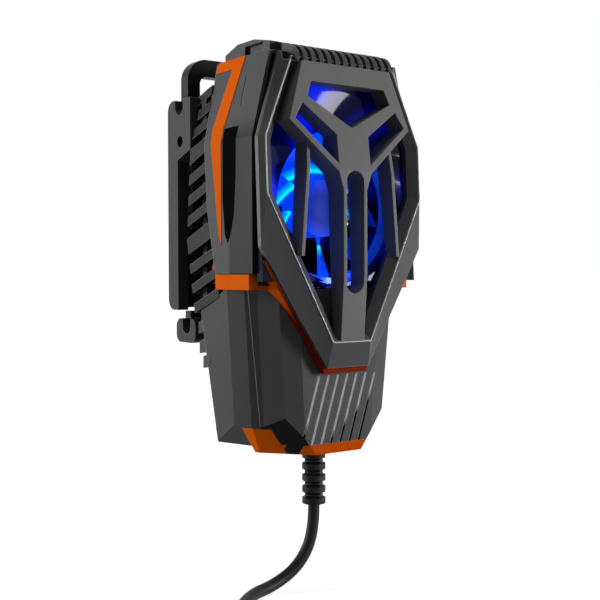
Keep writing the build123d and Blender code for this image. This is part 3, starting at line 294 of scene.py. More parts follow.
class StudioSettings(bpy.types.PropertyGroup):
    """Camera, floor and lamps."""

    lens: FloatProperty(
        name="Focal length",
        description="Focal length on a 36 mm sensor",
        subtype="DISTANCE_CAMERA",
        default=62.0,
    )
    place: FloatVectorProperty(
        name="Camera",
        description="Place of the camera",
        subtype="TRANSLATION",
        unit="LENGTH",
        default=(-0.1885, -0.2906, -0.0208),
    )
    heading: FloatProperty(
        name="Heading",
        description="Turn of the camera from the model's rear axis",
        subtype="ANGLE",
        default=radians(35.998),
    )
    dip: FloatProperty(
        name="Dip", description="Slope of the camera", subtype="ANGLE", default=radians(1.178)
    )
    roll: FloatProperty(
        name="Roll", description="Roll of the camera", subtype="ANGLE", default=radians(-0.181)
    )
    shift: FloatProperty(name="Shift", description="Vertical shift of the lens", default=-0.0155)
    floor: length("Floor", "Height of the surface that the lead lies on", -0.1168)
    key: FloatProperty(name="Key", description="Power of the main lamp", unit="POWER", default=13.0)
    side: FloatProperty(name="Side", description="Power of the side lamp", unit="POWER", default=12.0)
    ambient: FloatProperty(name="Ambient", description="Light from all round", default=0.06)


# Shader building


def linear(screen):
    """A screen colour as the light values that a shader reads, with alpha."""
    low = [c / 12.92 if c <= 0.04045 else ((c + 0.055) / 1.055) ** 2.4 for c in screen]
    return (*low, 1.0)


def shade(base, factor, offset=0.0):
    """A shader colour times a factor plus an offset, with its alpha kept."""
    return (*(c * factor + offset for c in base[:3]), 1.0)


def step(tree, kind, inputs=None, **options):
    """Add one node, set its options, and set or link its inputs."""
    made = tree.nodes.new(kind)
    for name, value in options.items():
        setattr(made, name, value)
    for name, value in (inputs or {}).items():
        fill(tree, made.inputs[name], value)
    return made


def fill(tree, socket, value):
    """Link another node's socket to this one, or set its own value."""
    if isinstance(value, bpy.types.NodeSocket):
        tree.links.new(value, socket)
    else:
        socket.default_value = value


def plug_in(tree, shader, **values):
    """Set or link the shader's own sockets, with underscores for the blanks in their names."""
    for name, value in values.items():
        fill(tree, shader.inputs[name.replace("_", " ")], value)


def calc(tree, operation, *values):
    """The result of one math step on numbers or sockets."""
    return step(tree, "ShaderNodeMath", dict(enumerate(values)), operation=operation).outputs[0]


def scaled(tree, value, factor, offset=0.0):
    """A value times a factor plus an offset."""
    return calc(tree, "MULTIPLY_ADD", value, factor, offset)


def beyond(tree, value, start, slope):
    """A straight line over a value, zero at its start."""
    return scaled(tree, value, slope, -slope * start)


def ranged(tree, value, start, end, low=0.0, high=1.0, smooth=False):
    """A value carried from one range to another and held at its ends."""
    made = step(
        tree,
        "ShaderNodeMapRange",
        {"Value": value, "From Min": start, "From Max": end, "To Min": low, "To Max": high},
        interpolation_type="SMOOTHSTEP" if smooth else "LINEAR",
    )
    return made.outputs[0]


def ramp(tree, factor, stops):
    """A colour ramp through (place, grey) stops, read at a factor."""
    made = step(tree, "ShaderNodeValToRGB", {"Fac": factor})
    line = made.color_ramp
    line.elements[0].position, line.elements[1].position = stops[0][0], stops[-1][0]
    line.elements[0].color = (stops[0][1],) * 3 + (1.0,)
    line.elements[1].color = (stops[-1][1],) * 3 + (1.0,)
    for place, grey in stops[1:-1]:
        line.elements.new(place).color = (grey,) * 3 + (1.0,)
    return made.outputs["Color"]


def mixed(tree, factor, low, high):
    """A colour between two, by a varying factor."""
    made = step(tree, "ShaderNodeMix", {"Factor": factor}, data_type="RGBA")
    fill(tree, made.inputs[6], low)
    fill(tree, made.inputs[7], high)
    return made.outputs[2]


def noise(tree, place, scale, detail):
    """A cloudy value of a place."""
    inputs = {"Vector": place, "Scale": scale, "Detail": detail}
    return step(tree, "ShaderNodeTexNoise", inputs).outputs["Fac"]


def bumped(tree, height, distance, strength):
    """The surface's normal, tilted by a height."""
    inputs = {"Strength": strength, "Distance": distance, "Height": height}
    return step(tree, "ShaderNodeBump", inputs).outputs[0]


def on_part(tree):
    """The place on a part that is being shaded."""
    return step(tree, "ShaderNodeTexCoord").outputs["Object"]


def split(tree, vector):
    """The three parts of a vector: across, back and up."""
    parts = step(tree, "ShaderNodeSeparateXYZ", {"Vector": vector}).outputs
    return parts["X"], parts["Y"], parts["Z"]


def facing(tree):
    """The three parts of the direction that a flat face looks in."""
    return split(tree, step(tree, "ShaderNodeNewGeometry").outputs["True Normal"])


def open_group(name, inputs, outputs):
    """Start a shader node group with named inputs and outputs."""
    tree = bpy.data.node_groups.new(name, "ShaderNodeTree")
    for socket, value in inputs:
        made = tree.interface.new_socket(socket, in_out="INPUT", socket_type="NodeSocketFloat")
        made.default_value = value
    for socket, kind in outputs:
        tree.interface.new_socket(socket, in_out="OUTPUT", socket_type=kind)
    return tree, tree.nodes.new("NodeGroupInput"), tree.nodes.new("NodeGroupOutput")


def moulded_group():
    """Skin of a moulded part: a fine eroded grain over softened edges, and a mask along them for
    their paler colour, partly wear and partly painted highlight.
    """
    name = "Moulded skin"
    if name in bpy.data.node_groups:
        return bpy.data.node_groups[name]
    tree, given, out = open_group(
        name,
        (("Grain", GRAIN), ("Depth", GRAIN_DEPTH), ("Radius", EDGE_RADIUS)),
        (
            ("Normal", "NodeSocketVector"),
            ("Edge", "NodeSocketFloat"),
            ("Mottle", "NodeSocketFloat"),
        ),
    )
    place = on_part(tree)
    soft = step(tree, "ShaderNodeBevel", {"Radius": given.outputs["Radius"]}, samples=6)
    flat = step(tree, "ShaderNodeNewGeometry").outputs["Normal"]
    turn = step(
        tree, "ShaderNodeVectorMath", {0: soft.outputs[0], 1: flat}, operation="DOT_PRODUCT"
    )
    grain = noise(tree, place, given.outputs["Grain"], 3.0)
    bump = step(
        tree,
        "ShaderNodeBump",
        {
            "Strength": 1.0,
            "Distance": given.outputs["Depth"],
            "Height": grain,
            "Normal": soft.outputs[0],
        },
    )
    fill(tree, out.inputs["Normal"], bump.outputs[0])
    fill(tree, out.inputs["Edge"], ranged(tree, turn.outputs["Value"], 1.0, 0.82))
    fill(tree, out.inputs["Mottle"], noise(tree, place, 95.0, 4.0))
    return tree


def new_material(name):
    """An empty node material with its shader and output."""
    made = bpy.data.materials.new(name)
    made.use_nodes = True
    tree = made.node_tree
    tree.nodes.clear()
    shader = step(tree, "ShaderNodeBsdfPrincipled")
    step(tree, "ShaderNodeOutputMaterial", {"Surface": shader.outputs[0]})
    return made, tree, shader


# Finishes of the moulded parts


def moulded(name, screen, rough=0.45, lift=0.35, worn_and_highlit_to=0.5, shine=0.05):
    """Moulded plastic: eroded grain, paler edges that are partly wear and partly painted highlight,
    and a slightly uneven gloss.
    """
    finish = bpy.context.scene.shell_finish
    made, tree, shader = new_material(name)
    skin = step(
        tree,
        "ShaderNodeGroup",
        {"Grain": finish.grain, "Depth": GRAIN_DEPTH, "Radius": finish.edge_radius},
        node_tree=moulded_group(),
    )
    base = linear(screen)
    # paler edges: partly wear and partly painted highlight
    pale = shade(base, 1.0 - WORN_AND_HIGHLIT_SHARE, worn_and_highlit_to * WORN_AND_HIGHLIT_SHARE)
    body = mixed(tree, skin.outputs["Mottle"], shade(base, 0.88), base)
    worn_and_highlit = scaled(tree, skin.outputs["Edge"], lift)
    plug_in(
        tree,
        shader,
        Base_Color=mixed(tree, worn_and_highlit, body, pale),
        Roughness=scaled(tree, skin.outputs["Mottle"], 0.12, rough - 0.06),
        Normal=skin.outputs["Normal"],
        Specular_IOR_Level=shine,
    )
    return made


def recoloured(made, mask, other):
    """Mix another colour into a finished material where a mask is one."""
    tree = made.node_tree
    shader = next(node for node in tree.nodes if node.type == "BSDF_PRINCIPLED")
    whole = shader.inputs["Base Color"].links[0].from_socket
    plug_in(tree, shader, Base_Color=mixed(tree, mask, whole, other))
    return made


def housing_plastic(name):
    """Satin plastic of the housing and the lower body, its edges and groove edges strongly paler:
    partly wear and partly painted highlight.
    """
    screen = bpy.context.scene.shell_finish.housing
    return moulded(name, screen, rough=0.42, lift=0.9, worn_and_highlit_to=0.9)


def accent_plastic(name, screen):
    """Dull plastic of the accent frame and the trim."""
    return moulded(name, screen, rough=0.5, lift=0.2, shine=0.01)


def shaded_front_housing(name):
    """Housing plastic with painted shade: its front half, below the shoulder, is darkened to near
    black.
    """
    made = housing_plastic(name)
    tree = made.node_tree
    _, back, up = split(tree, on_part(tree))
    ahead = ranged(tree, back, *FRONT_SHADE_DEPTH)
    below = ranged(tree, up, *FRONT_SHADE_HEIGHT, smooth=True)
    # the cage's near black, used as painted shade
    dark = linear(bpy.context.scene.shell_finish.cage)
    return recoloured(made, calc(tree, "MULTIPLY", ahead, below), dark)


def in_groove(tree):
    """One inside the slanted grooves, and one in the part of them that gets a painted highlight.

    A groove's number is the place across, less the lean times the height, over the pitch.
    The distance to the nearest whole number is a triangle wave. The painted highlight ends on a
    line that rises to the right, and at the front face's edge.
    """
    across, _, up = split(tree, on_part(tree))
    start = (GROOVE_FOOT * GROOVE_LEAN - GROOVE_MIDDLE_FOOT) / GROOVE_PITCH
    leant = scaled(tree, up, -GROOVE_LEAN / GROOVE_PITCH, start)
    number = scaled(tree, across, 1.0 / GROOVE_PITCH, leant)
    near = calc(tree, "LESS_THAN", calc(tree, "PINGPONG", number, 0.5), GROOVE_HALF_SHARE)
    within = calc(tree, "COMPARE", number, 0.0, GROOVE_LAST)
    below = calc(tree, "LESS_THAN", up, GROOVE_FOOT + GROOVE_RISE)
    groove = calc(tree, "MULTIPLY", near, calc(tree, "MULTIPLY", within, below))
    rise = calc(tree, "MULTIPLY_ADD", across, -GROOVE_HIGHLIGHT_SLOPE, up)
    lit = ranged(tree, rise, *GROOVE_HIGHLIGHT_HEIGHT)
    clear = calc(tree, "GREATER_THAN", across, FRONT_EDGE)
    return groove, calc(tree, "MULTIPLY", lit, clear)


def grooved(name):
    """Housing plastic with a painted highlight in the upper part of its front grooves, painted shade
    in the rest of them, and painted shade on the corner facets that look down.
    """
    finish = bpy.context.scene.shell_finish
    made = housing_plastic(name)
    tree = made.node_tree
    dark = linear(finish.painted_shade)
    groove, lit = in_groove(tree)
    # painted highlight in the grooves' upper part, painted shade in the rest
    recoloured(made, groove, mixed(tree, lit, dark, linear(finish.groove)))
    # painted shade on the corner facets that look down
    return recoloured(made, ranged(tree, facing(tree)[2], *FACING_DOWN), dark)


def shaded_chin(name):
    """Accent plastic with painted shade: deeper in colour towards the chin of the front cover."""
    finish = bpy.context.scene.shell_finish
    made = accent_plastic(name, finish.accent)
    tree = made.node_tree
    _, back, up = split(tree, on_part(tree))
    ahead = calc(tree, "LESS_THAN", back, CHIN_DEPTH)
    low = ranged(tree, up, *CHIN_HEIGHT)
    return recoloured(made, calc(tree, "MULTIPLY", ahead, low), linear(finish.chin))


def shaded_trim(name):
    """Accent plastic with painted shade: deeper in colour where it faces straight ahead."""
    finish = bpy.context.scene.shell_finish
    made = accent_plastic(name, finish.trim)
    tree = made.node_tree
    mask = ranged(tree, facing(tree)[1], *FACING_AHEAD)
    return recoloured(made, mask, linear(finish.trim_front_shade))


# Finishes of the metal parts, the boards and the lead


def metal(name, screen, rough, brushed):
    """Turned or rolled metal: fine scratches along its depth, and stains in its gloss."""
    made, tree, shader = new_material(name)
    place = on_part(tree)
    stretch = (brushed, brushed * 0.04, brushed)
    mapping = step(tree, "ShaderNodeMapping", {"Vector": place, "Scale": stretch})
    lines = noise(tree, mapping.outputs[0], 1.0, 3.0)
    stain = noise(tree, place, 260.0, 4.0)
    base = linear(screen)
    plug_in(
        tree,
        shader,
        Base_Color=mixed(tree, stain, shade(base, 0.72), base),
        Roughness=scaled(tree, stain, 0.2, rough - 0.1),
        Metallic=1.0,
        Normal=bumped(tree, lines, 0.00001, 0.6),
    )
    return made


def board(name, screen):
    """Circuit board: solder mask over copper tracks, with tinned pads."""
    made, tree, shader = new_material(name)
    place = on_part(tree)
    tracks = step(
        tree,
        "ShaderNodeTexBrick",
        {"Vector": place, "Scale": 900.0, "Mortar Size": 0.05, "Bias": 0.0},
    )
    pads = step(tree, "ShaderNodeTexVoronoi", {"Vector": place, "Scale": 900.0})
    pad_mask = ramp(tree, pads.outputs["Distance"], ((0.1, 1.0), (0.16, 0.0)))
    mask = linear(screen)
    layer = mixed(tree, tracks.outputs["Fac"], mask, shade(mask, 1.8, 0.01))
    plug_in(
        tree,
        shader,
        Base_Color=mixed(tree, pad_mask, layer, linear((0.8, 0.78, 0.74))),
        Roughness=0.35,
        Metallic=pad_mask,
    )
    return made


def windings(name):
    """Enamelled copper wire, wound in close turns."""
    made, tree, shader = new_material(name)
    turns = step(
        tree,
        "ShaderNodeTexWave",
        {"Vector": on_part(tree), "Scale": 1500.0, "Distortion": 1.5, "Detail": 1.0},
        bands_direction="DIAGONAL",
    ).outputs["Fac"]
    plug_in(
        tree,
        shader,
        Base_Color=mixed(tree, turns, linear((0.42, 0.16, 0.06)), linear((0.85, 0.45, 0.22))),
        Roughness=scaled(tree, turns, -0.1, 0.38),
        Metallic=1.0,
        Normal=bumped(tree, turns, 0.00008, 0.8),
    )
    return made


def soft_skin(name, screen):
    """Soft moulded plastic of the lead: a faint pebble grain and handling marks."""
    made, tree, shader = new_material(name)
    place = on_part(tree)
    pebble = step(
        tree, "ShaderNodeTexVoronoi", {"Vector": place, "Scale": 2600.0}, feature="SMOOTH_F1"
    )
    marks = noise(tree, place, 150.0, 5.0)
    base = linear(screen)
    plug_in(
        tree,
        shader,
        Base_Color=mixed(tree, marks, base, shade(base, 1.5, 0.004)),
        Roughness=scaled(tree, marks, 0.22, 0.39),
        Normal=bumped(tree, pebble.outputs["Distance"], 0.00003, 0.35),
        Specular_IOR_Level=0.12,
    )
    return made


# Finishes of the fan in its light


def around_fan(tree, place):
    """The place on a part as its distance from the fan's axis and its angle round it."""
    to_axis = [-c for c in FAN_AXIS]
    centred = step(tree, "ShaderNodeMapping", {"Vector": place, "Location": to_axis})
    across, _, up = split(tree, centred.outputs[0])
    flat = step(tree, "ShaderNodeCombineXYZ", {"X": across, "Z": up})
    reach = step(tree, "ShaderNodeVectorMath", {0: flat.outputs[0]}, operation="LENGTH")
    return reach.outputs["Value"], calc(tree, "ARCTAN2", up, across)


def painted_light_falloff(tree, place):
    """Painted fall-off of the light: one at the fan's left rim and falling to little at its right."""
    across = split(tree, place)[0]
    return ranged(tree, across, *LIGHT_ACROSS, 1.0, LIGHT_FAR_SHARE, smooth=True)


def lit_ring(name):
    """Frosted light ring, shining from inside: brighter in front of each lamp, in its glow and, as
    painted light, in its own colour.
    """
    light = bpy.context.scene.light_finish
    made, tree, shader = new_material(name)
    place = on_part(tree)
    _, angle = around_fan(tree, place)
    wave = calc(tree, "COSINE", scaled(tree, angle, float(light.lamps)))
    spot = scaled(tree, wave, 0.25, 0.75)
    lit = mixed(tree, spot, linear((0.0, 0.12, 0.8)), linear(light.deep))
    plug_in(
        tree,
        shader,
        # painted light: the ring's own colour is paler in front of each lamp
        Base_Color=mixed(tree, spot, linear((0.2, 0.3, 0.5)), linear((0.3, 0.5, 0.7))),
        Roughness=0.25,
        Emission_Color=mixed(tree, painted_light_falloff(tree, place), BLACK, lit),
        Emission_Strength=light.strength,
    )
    return made


def lit_blades(name):
    """Translucent fan plastic with painted glow: the light that comes in from the rim and runs round
    the hub as a line is emitted by the blades themselves.
    """
    light = bpy.context.scene.light_finish
    made, tree, shader = new_material(name)
    place = on_part(tree)
    reach, _ = around_fan(tree, place)
    share = scaled(tree, reach, 1.0 / FAN_RADIUS)
    inward = ramp(tree, share, ((0.2, 0.1), (0.42, 0.4), (0.6, 0.3), (0.82, 0.5), (1.0, 0.9)))
    line = ramp(
        tree, share, ((0.0, 0.0), (0.49, 0.0), (0.53, 1.0), (0.58, 0.35), (0.66, 0.0), (1.0, 0.0))
    )
    cloud = noise(tree, place, 180.0, 2.0)
    blue = mixed(tree, inward, linear((0.0, 0.02, 0.3)), linear(light.deep))
    drawn = mixed(tree, line, blue, linear(light.glow))
    plug_in(
        tree,
        shader,
        Base_Color=mixed(tree, cloud, linear((0.08, 0.09, 0.13)), linear(light.blade)),
        Roughness=scaled(tree, cloud, 0.1, 0.08),
        # painted glow of the blades, standing for the ring's light in them
        Emission_Color=mixed(tree, painted_light_falloff(tree, place), linear((0.0, 0.0, 0.06)), drawn),
        Emission_Strength=2.2,
        Specular_IOR_Level=0.12,
    )
    return made


def lit_bowl(name):
    """Glossy dark bowl round the fan: curved flutes with painted light, a blue glow standing for the
    ring's light that they catch.

    A flute is the sine of the flutes' number times the angle, plus the twist times the
    distance. Ahead of the duct's mouth the painted light fills the cover's opening, whose half
    width shrinks in a straight line above one height and below another. Behind it stays in the bore.
    """
    made, tree, shader = new_material(name)
    place = on_part(tree)
    reach, angle = around_fan(tree, place)
    swirl = calc(tree, "MULTIPLY_ADD", angle, FLUTES, scaled(tree, reach, FLUTE_TWIST))
    flute = scaled(tree, calc(tree, "SINE", swirl), 0.5, 0.5)
    lit = ramp(tree, flute, ((0.15, 0.0), (0.6, 0.25), (0.95, 1.0)))
    across, back, up = split(tree, place)
    above = beyond(tree, up, *SHIELD_ABOVE)
    below = beyond(tree, up, *SHIELD_BELOW)
    inset = calc(tree, "MAXIMUM", calc(tree, "MAXIMUM", above, below), 0.0)
    edge = calc(tree, "ADD", calc(tree, "ABSOLUTE", across), inset)
    shield = ranged(tree, edge, *SHIELD_EDGE, 1.0, 0.0)
    ahead = calc(tree, "LESS_THAN", back, DUCT_MOUTH)
    within = calc(tree, "LESS_THAN", reach, DUCT_RADIUS)
    kept = calc(tree, "MULTIPLY", calc(tree, "MAXIMUM", ahead, within), shield)
    share = calc(tree, "MULTIPLY", painted_light_falloff(tree, place), kept)
    blue = mixed(tree, lit, linear((0.0, 0.0, 0.16)), linear((0.0, 0.08, 0.75)))
    plug_in(
        tree,
        shader,
        Base_Color=mixed(tree, flute, linear((0.03, 0.03, 0.05)), linear((0.06, 0.07, 0.12))),
        Roughness=scaled(tree, flute, 0.06, 0.06),
        # painted light of the flutes
        Emission_Color=mixed(tree, share, BLACK, blue),
        Emission_Strength=1.5,
        Normal=bumped(tree, flute, 0.0012, 0.7),
        Specular_IOR_Level=0.05,
    )
    return made


def dress(material, *names):
    """Give CAD nodes a material in their own slots."""
    for name in names:
        slots = nodes[name].data.materials
        slots.clear()
        slots.append(material)


# Surfaces worked out as grids of points


def grid_piece(name, points, material, close_u=True, caps=False):
    """A mesh from a grid of points: rows along u, closed columns round v, capped if asked."""
    rows, columns = points.shape[:2]
    index = np.arange(rows * columns).reshape(rows, columns)
    index = np.concatenate([index, index[:, :1]], axis=1)
    if close_u:
        index = np.concatenate([index, index[:1]], axis=0)
    corners = (index[:-1, :-1], index[:-1, 1:], index[1:, 1:], index[1:, :-1])
    faces = np.stack([c.ravel() for c in corners], axis=1).tolist()
    if caps:
        faces.append(list(range(columns))[::-1])
        faces.append(list(range((rows - 1) * columns, rows * columns)))
    mesh = bpy.data.meshes.new(name)
    mesh.from_pydata(points.reshape(-1, 3).tolist(), [], faces)
    mesh.validate()
    mesh.shade_smooth()
    made = bpy.data.objects.new(name, mesh)
    bpy.context.scene.collection.objects.link(made)
    mesh.materials.append(material)
    return made


def recalculated(piece):
    """Turn the piece's faces outwards."""
    work = bmesh.new()
    work.from_mesh(piece.data)
    bmesh.ops.recalc_face_normals(work, faces=work.faces)
    work.to_mesh(piece.data)
    work.free()
    return piece


def shown(piece, slot, *replaced):
    """Let a finished piece ride on the fan's body, in the place of the CAD nodes named, if any."""
    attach(piece, BODY)
    if replaced:
        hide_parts(*replaced)
    return piece


def turned_grid(profile, centre, sides):
    """A profile of (radius, height) pairs turned about a vertical line through a point."""
    profile = np.array(profile)
    turn = np.linspace(0.0, 2 * pi, sides, endpoint=False)
    x = centre[0] + profile[:, :1] * np.cos(turn)
    y = centre[1] + profile[:, :1] * np.sin(turn)
    z = np.broadcast_to(profile[:, 1:], x.shape)
    return np.stack([x, y, z], axis=2)


def walked(corners, steps):
    """Points round a closed outline, with each of its straight sides cut into equal steps."""
    count = len(corners)
    turn = np.linspace(0.0, count, count * steps, endpoint=False)
    first = turn.astype(int)
    share = (turn - first)[:, None]
    return corners[first] * (1 - share) + corners[(first + 1) % count] * share


def squared_circle(power, count):
    """A circle pulled towards a square: its cosine and sine to a power, with their signs."""
    turn = np.linspace(0.0, 2 * pi, count, endpoint=False)
    return [np.sign(part) * np.abs(part) ** power for part in (np.cos(turn), np.sin(turn))]


def painted_shade(name, side, material):
    """Painted shade on one side of the housing: a near-black blade-shaped plate over its long recess.

    Each ring of the grid is the outline shrunk about its middle. The plate follows the side,
    which is upright to its shoulder and leans in above it, and its rim is rounded off.
    """
    outline = walked(np.array(SHADE_PLATE_OUTLINE), 16)
    shares, lifts = zip(*SHADE_PLATE_RIM)
    way = np.array([*shares, *np.linspace(*SHADE_PLATE_ROWS)])[:, None, None]
    flat = outline[None] * (1 - way) + outline.mean(axis=0) * way
    surface = SIDE_HALF - np.clip(flat[..., 1] - SHOULDER, 0.0, 1.0) * SIDE_LEAN
    x = side * (surface + np.interp(way[:, 0], shares, lifts))
    grid = np.concatenate([x[..., None], flat], axis=2)
    return recalculated(grid_piece(name, grid, material, close_u=False, caps=True))


def crest_highlight_bead(material):
    """Painted highlight along the crest of the cover's rim: a thin pale wire bent along its outline.

    A circle of the wire's radius is carried along the outline on the leaning plane.
    """
    corners = np.array([*CREST_HALF, *((-x, y) for x, y in reversed(CREST_HALF))])
    flat = walked(corners, 40)
    back = (flat[:, 1] - CREST_PIVOT) * sin(CREST_LEAN) - ORIGIN_DEPTH
    up = flat[:, 1] * cos(CREST_LEAN) - ORIGIN_HEIGHT
    line = np.stack([flat[:, 0], back, up], axis=1)
    ahead = np.roll(line, -1, axis=0) - np.roll(line, 1, axis=0)
    ahead /= np.linalg.norm(ahead, axis=1)[:, None]
    out = np.array([0.0, -cos(CREST_LEAN), sin(CREST_LEAN)])
    side = np.cross(ahead, out)
    circle = np.linspace(0.0, 2 * pi, 10, endpoint=False)[None, :, None]
    ring = np.cos(circle) * out + np.sin(circle) * side[:, None]
    return recalculated(grid_piece("crest_highlight_bead", line[:, None] + CREST_WIRE * ring, material))


def along_coil():
    """The lead's direction at the start of the coil, and the level direction to its left."""
    along = (Vector(LEAD_ROUTE[-1]) - Vector(LEAD_ROUTE[-2])).normalized()
    return along, Vector((-along.y, along.x, 0.0))


def coil_radius(number):
    """The radius of one half turn of the coil, by its number."""
    return COIL_RADIUS + COIL_SHIFTS[number] * COIL_PITCH / 2


def coil_line():
    """Control points of the coil: half turns whose centre steps across at each change of radius.

    A half turn goes round its middle from one side to the other. Its points stand out by one
    over the cosine of half a step, so that the smooth line passes through the turn itself.
    """
    along, left = along_coil()
    reach = 1.0 / cos(pi / COIL_STEPS / 2)
    start = Vector(LEAD_ROUTE[-1])
    points = []
    for number in range(len(COIL_SHIFTS)):
        radius = coil_radius(number)
        side = 1.0 if number % 2 == 0 else -1.0
        centre = start + left * radius * side
        rise = COIL_PITCH if number == COIL_CLIMB else 0.0
        for part in range(COIL_STEPS):
            share = (part + 0.5) / COIL_STEPS
            turn = pi * share
            out = -left * side * cos(turn) + along * side * sin(turn)
            points.append(centre + out * radius * reach + UP * rise * share)
        start = start + left * 2 * radius * side + UP * rise
    return points, start


def lead_points():
    """The whole lead's control points: its route, its coil and the run to its plug."""
    along, left = along_coil()
    coil, end = coil_line()
    tail = [end + along * ahead + left * aside + UP * rise for ahead, aside, rise in TAIL_STEPS]
    return [*(Vector(p) for p in LEAD_ROUTE), *coil, *tail]


def relief_profile(sizes):
    """Strain relief from its foot up: square ribs over a core, a waist in the wall, a collar.

    Each rib rises over a quarter wave of the sine at either edge and is flat between.
    """
    core, rib, soft = sizes.relief_core, sizes.relief_rib, SOFTENING
    heights = np.linspace(RELIEF_FOOT + soft, RELIEF_LIP, 240)
    phase = np.clip(((heights - RELIEF_FOOT) % sizes.rib_pitch) / RIB_WIDTH, 0.0, 1.0)
    swell = np.clip(np.minimum(phase, 1.0 - phase) / RIB_EDGE_SHARE, 0.0, 1.0)
    radii = core + (rib - core) * np.sin(swell * pi / 2)
    collar_foot = RELIEF_TOP - COLLAR_THICK
    return [
        (RELIEF_BORE, RELIEF_FOOT),
        (core - 3 * soft, RELIEF_FOOT),
        *zip(radii.tolist(), heights.tolist()),
        (RELIEF_COLLAR - 3 * soft, RELIEF_LIP + soft),
        (RELIEF_COLLAR, RELIEF_LIP + 4 * soft),
        (RELIEF_COLLAR, RELIEF_WALL - soft),
        (RELIEF_COLLAR - soft, RELIEF_WALL),
        (RELIEF_WAIST, RELIEF_WALL),
        (RELIEF_WAIST, collar_foot),
        (RELIEF_COLLAR - soft, collar_foot + soft),
        (RELIEF_COLLAR, collar_foot + 3 * soft),
        (RELIEF_COLLAR, RELIEF_TOP - 2 * soft),
        (RELIEF_COLLAR - 2 * soft, RELIEF_TOP),
    ]


def slotted(grid, sizes):
    """Cut the flexing slots into the strain relief, in the gaps between its ribs.

    The depth of a slot is a ramp of the angle from one of two opposite directions, times a
    ramp of the height inside the gap. A thin bar stays in the gap's middle.
    """
    centre = np.array(LEAD_TOP)[:2]
    flat = grid[..., :2] - centre
    high = grid[..., 2]
    turn = np.arctan2(flat[..., 1], flat[..., 0])
    near = np.abs(np.sin(turn - SLOT_TURN + pi / 2))
    spread = np.interp(near, SLOT_SPREAD, (0.0, 1.0))
    half_gap = (sizes.rib_pitch - RIB_WIDTH) / 2
    phase = ((high - RELIEF_FOOT) % sizes.rib_pitch) - RIB_WIDTH
    place = np.abs(phase - half_gap) / half_gap
    inside = np.interp(place, SLOT_PLACES, (0.0, 1.0, 1.0, 0.0))
    above = high > RELIEF_FOOT + 10 * SOFTENING
    ribbed = above & (high < RELIEF_FOOT + SLOTTED_RIBS * sizes.rib_pitch)
    depth = SLOT_SINK * spread * inside * ribbed
    reach = np.linalg.norm(flat, axis=2)
    grid[..., :2] = centre + flat * ((reach - depth) / reach)[..., None]
    return grid


def strap_grid(along, left):
    """Strap round the strands: a band's section carried round a rounded rectangle."""
    middle = Vector(LEAD_ROUTE[-1]) + left * coil_radius(0) - along * COIL_RADIUS
    middle += UP * COIL_PITCH / 2
    u, v = squared_circle(STRAP_POWER, 96)
    out, aside = np.array(STRAP_BAND).T
    x = (u[:, None] * (STRAP_HALF_WIDE + out))[..., None] * np.array(along)
    y = (v[:, None] * (STRAP_HALF_HIGH + out))[..., None] * np.array(UP)
    return np.array(middle) + x + y + aside[:, None] * np.array(left)


def plug_grid(start, axis):
    """Grip of the plug: rounded rectangles along its axis, with finger ridges cut into it.

    Its half width and height swell from the neck's to the grip's, and a cosine wave is
    taken off the width between the first ridge and the last.
    """
    side = UP.cross(axis).normalized()
    up = axis.cross(side).normalized()
    places, shares = zip(*GRIP_SWELL)
    neck, body = np.linspace(*NECK_ROWS), np.linspace(*BODY_ROWS)
    along = np.concatenate([neck, body, [*END_ROWS, places[-1]]])
    swell = np.interp(along, places, shares)
    wave = (1 - np.cos((along - RIDGES_FROM) * 2 * pi / RIDGE_PITCH)) / 2
    ridged = (along > RIDGES_FROM) & (along < RIDGES_TO)
    half_wide = NECK_HALF + (GRIP_HALF_WIDE - NECK_HALF) * swell
    half_wide -= np.where(ridged, RIDGE_SINK * wave, 0.0)
    half_high = NECK_HALF + (GRIP_HALF_HIGH - NECK_HALF) * swell
    u, v = squared_circle(GRIP_POWER, 80)
    base = np.array(start) + along[:, None] * np.array(axis)
    wide = (half_wide[:, None] * u)[..., None] * np.array(side)
    high = (half_high[:, None] * v)[..., None] * np.array(up)
    return base[:, None, :] + wide + high


def lead_curve(points, sizes, material):
    """The lead as one open spline with a round section."""
    curve = bpy.data.curves.new("lead", "CURVE")
    curve.dimensions = "3D"
    curve.bevel_depth = sizes.diameter / 2
    curve.bevel_resolution = 6
    curve.resolution_u = 6
    curve.use_fill_caps = True
    spline = curve.splines.new("NURBS")
    spline.points.add(len(points) - 1)
    for point, place in zip(spline.points, points):
        point.co = (*place, 1.0)
    spline.order_u = 3
    spline.use_endpoint_u = True
    curve.materials.append(material)
    lead = bpy.data.objects.new("lead", curve)
    bpy.context.scene.collection.objects.link(lead)
    return lead


# Operators


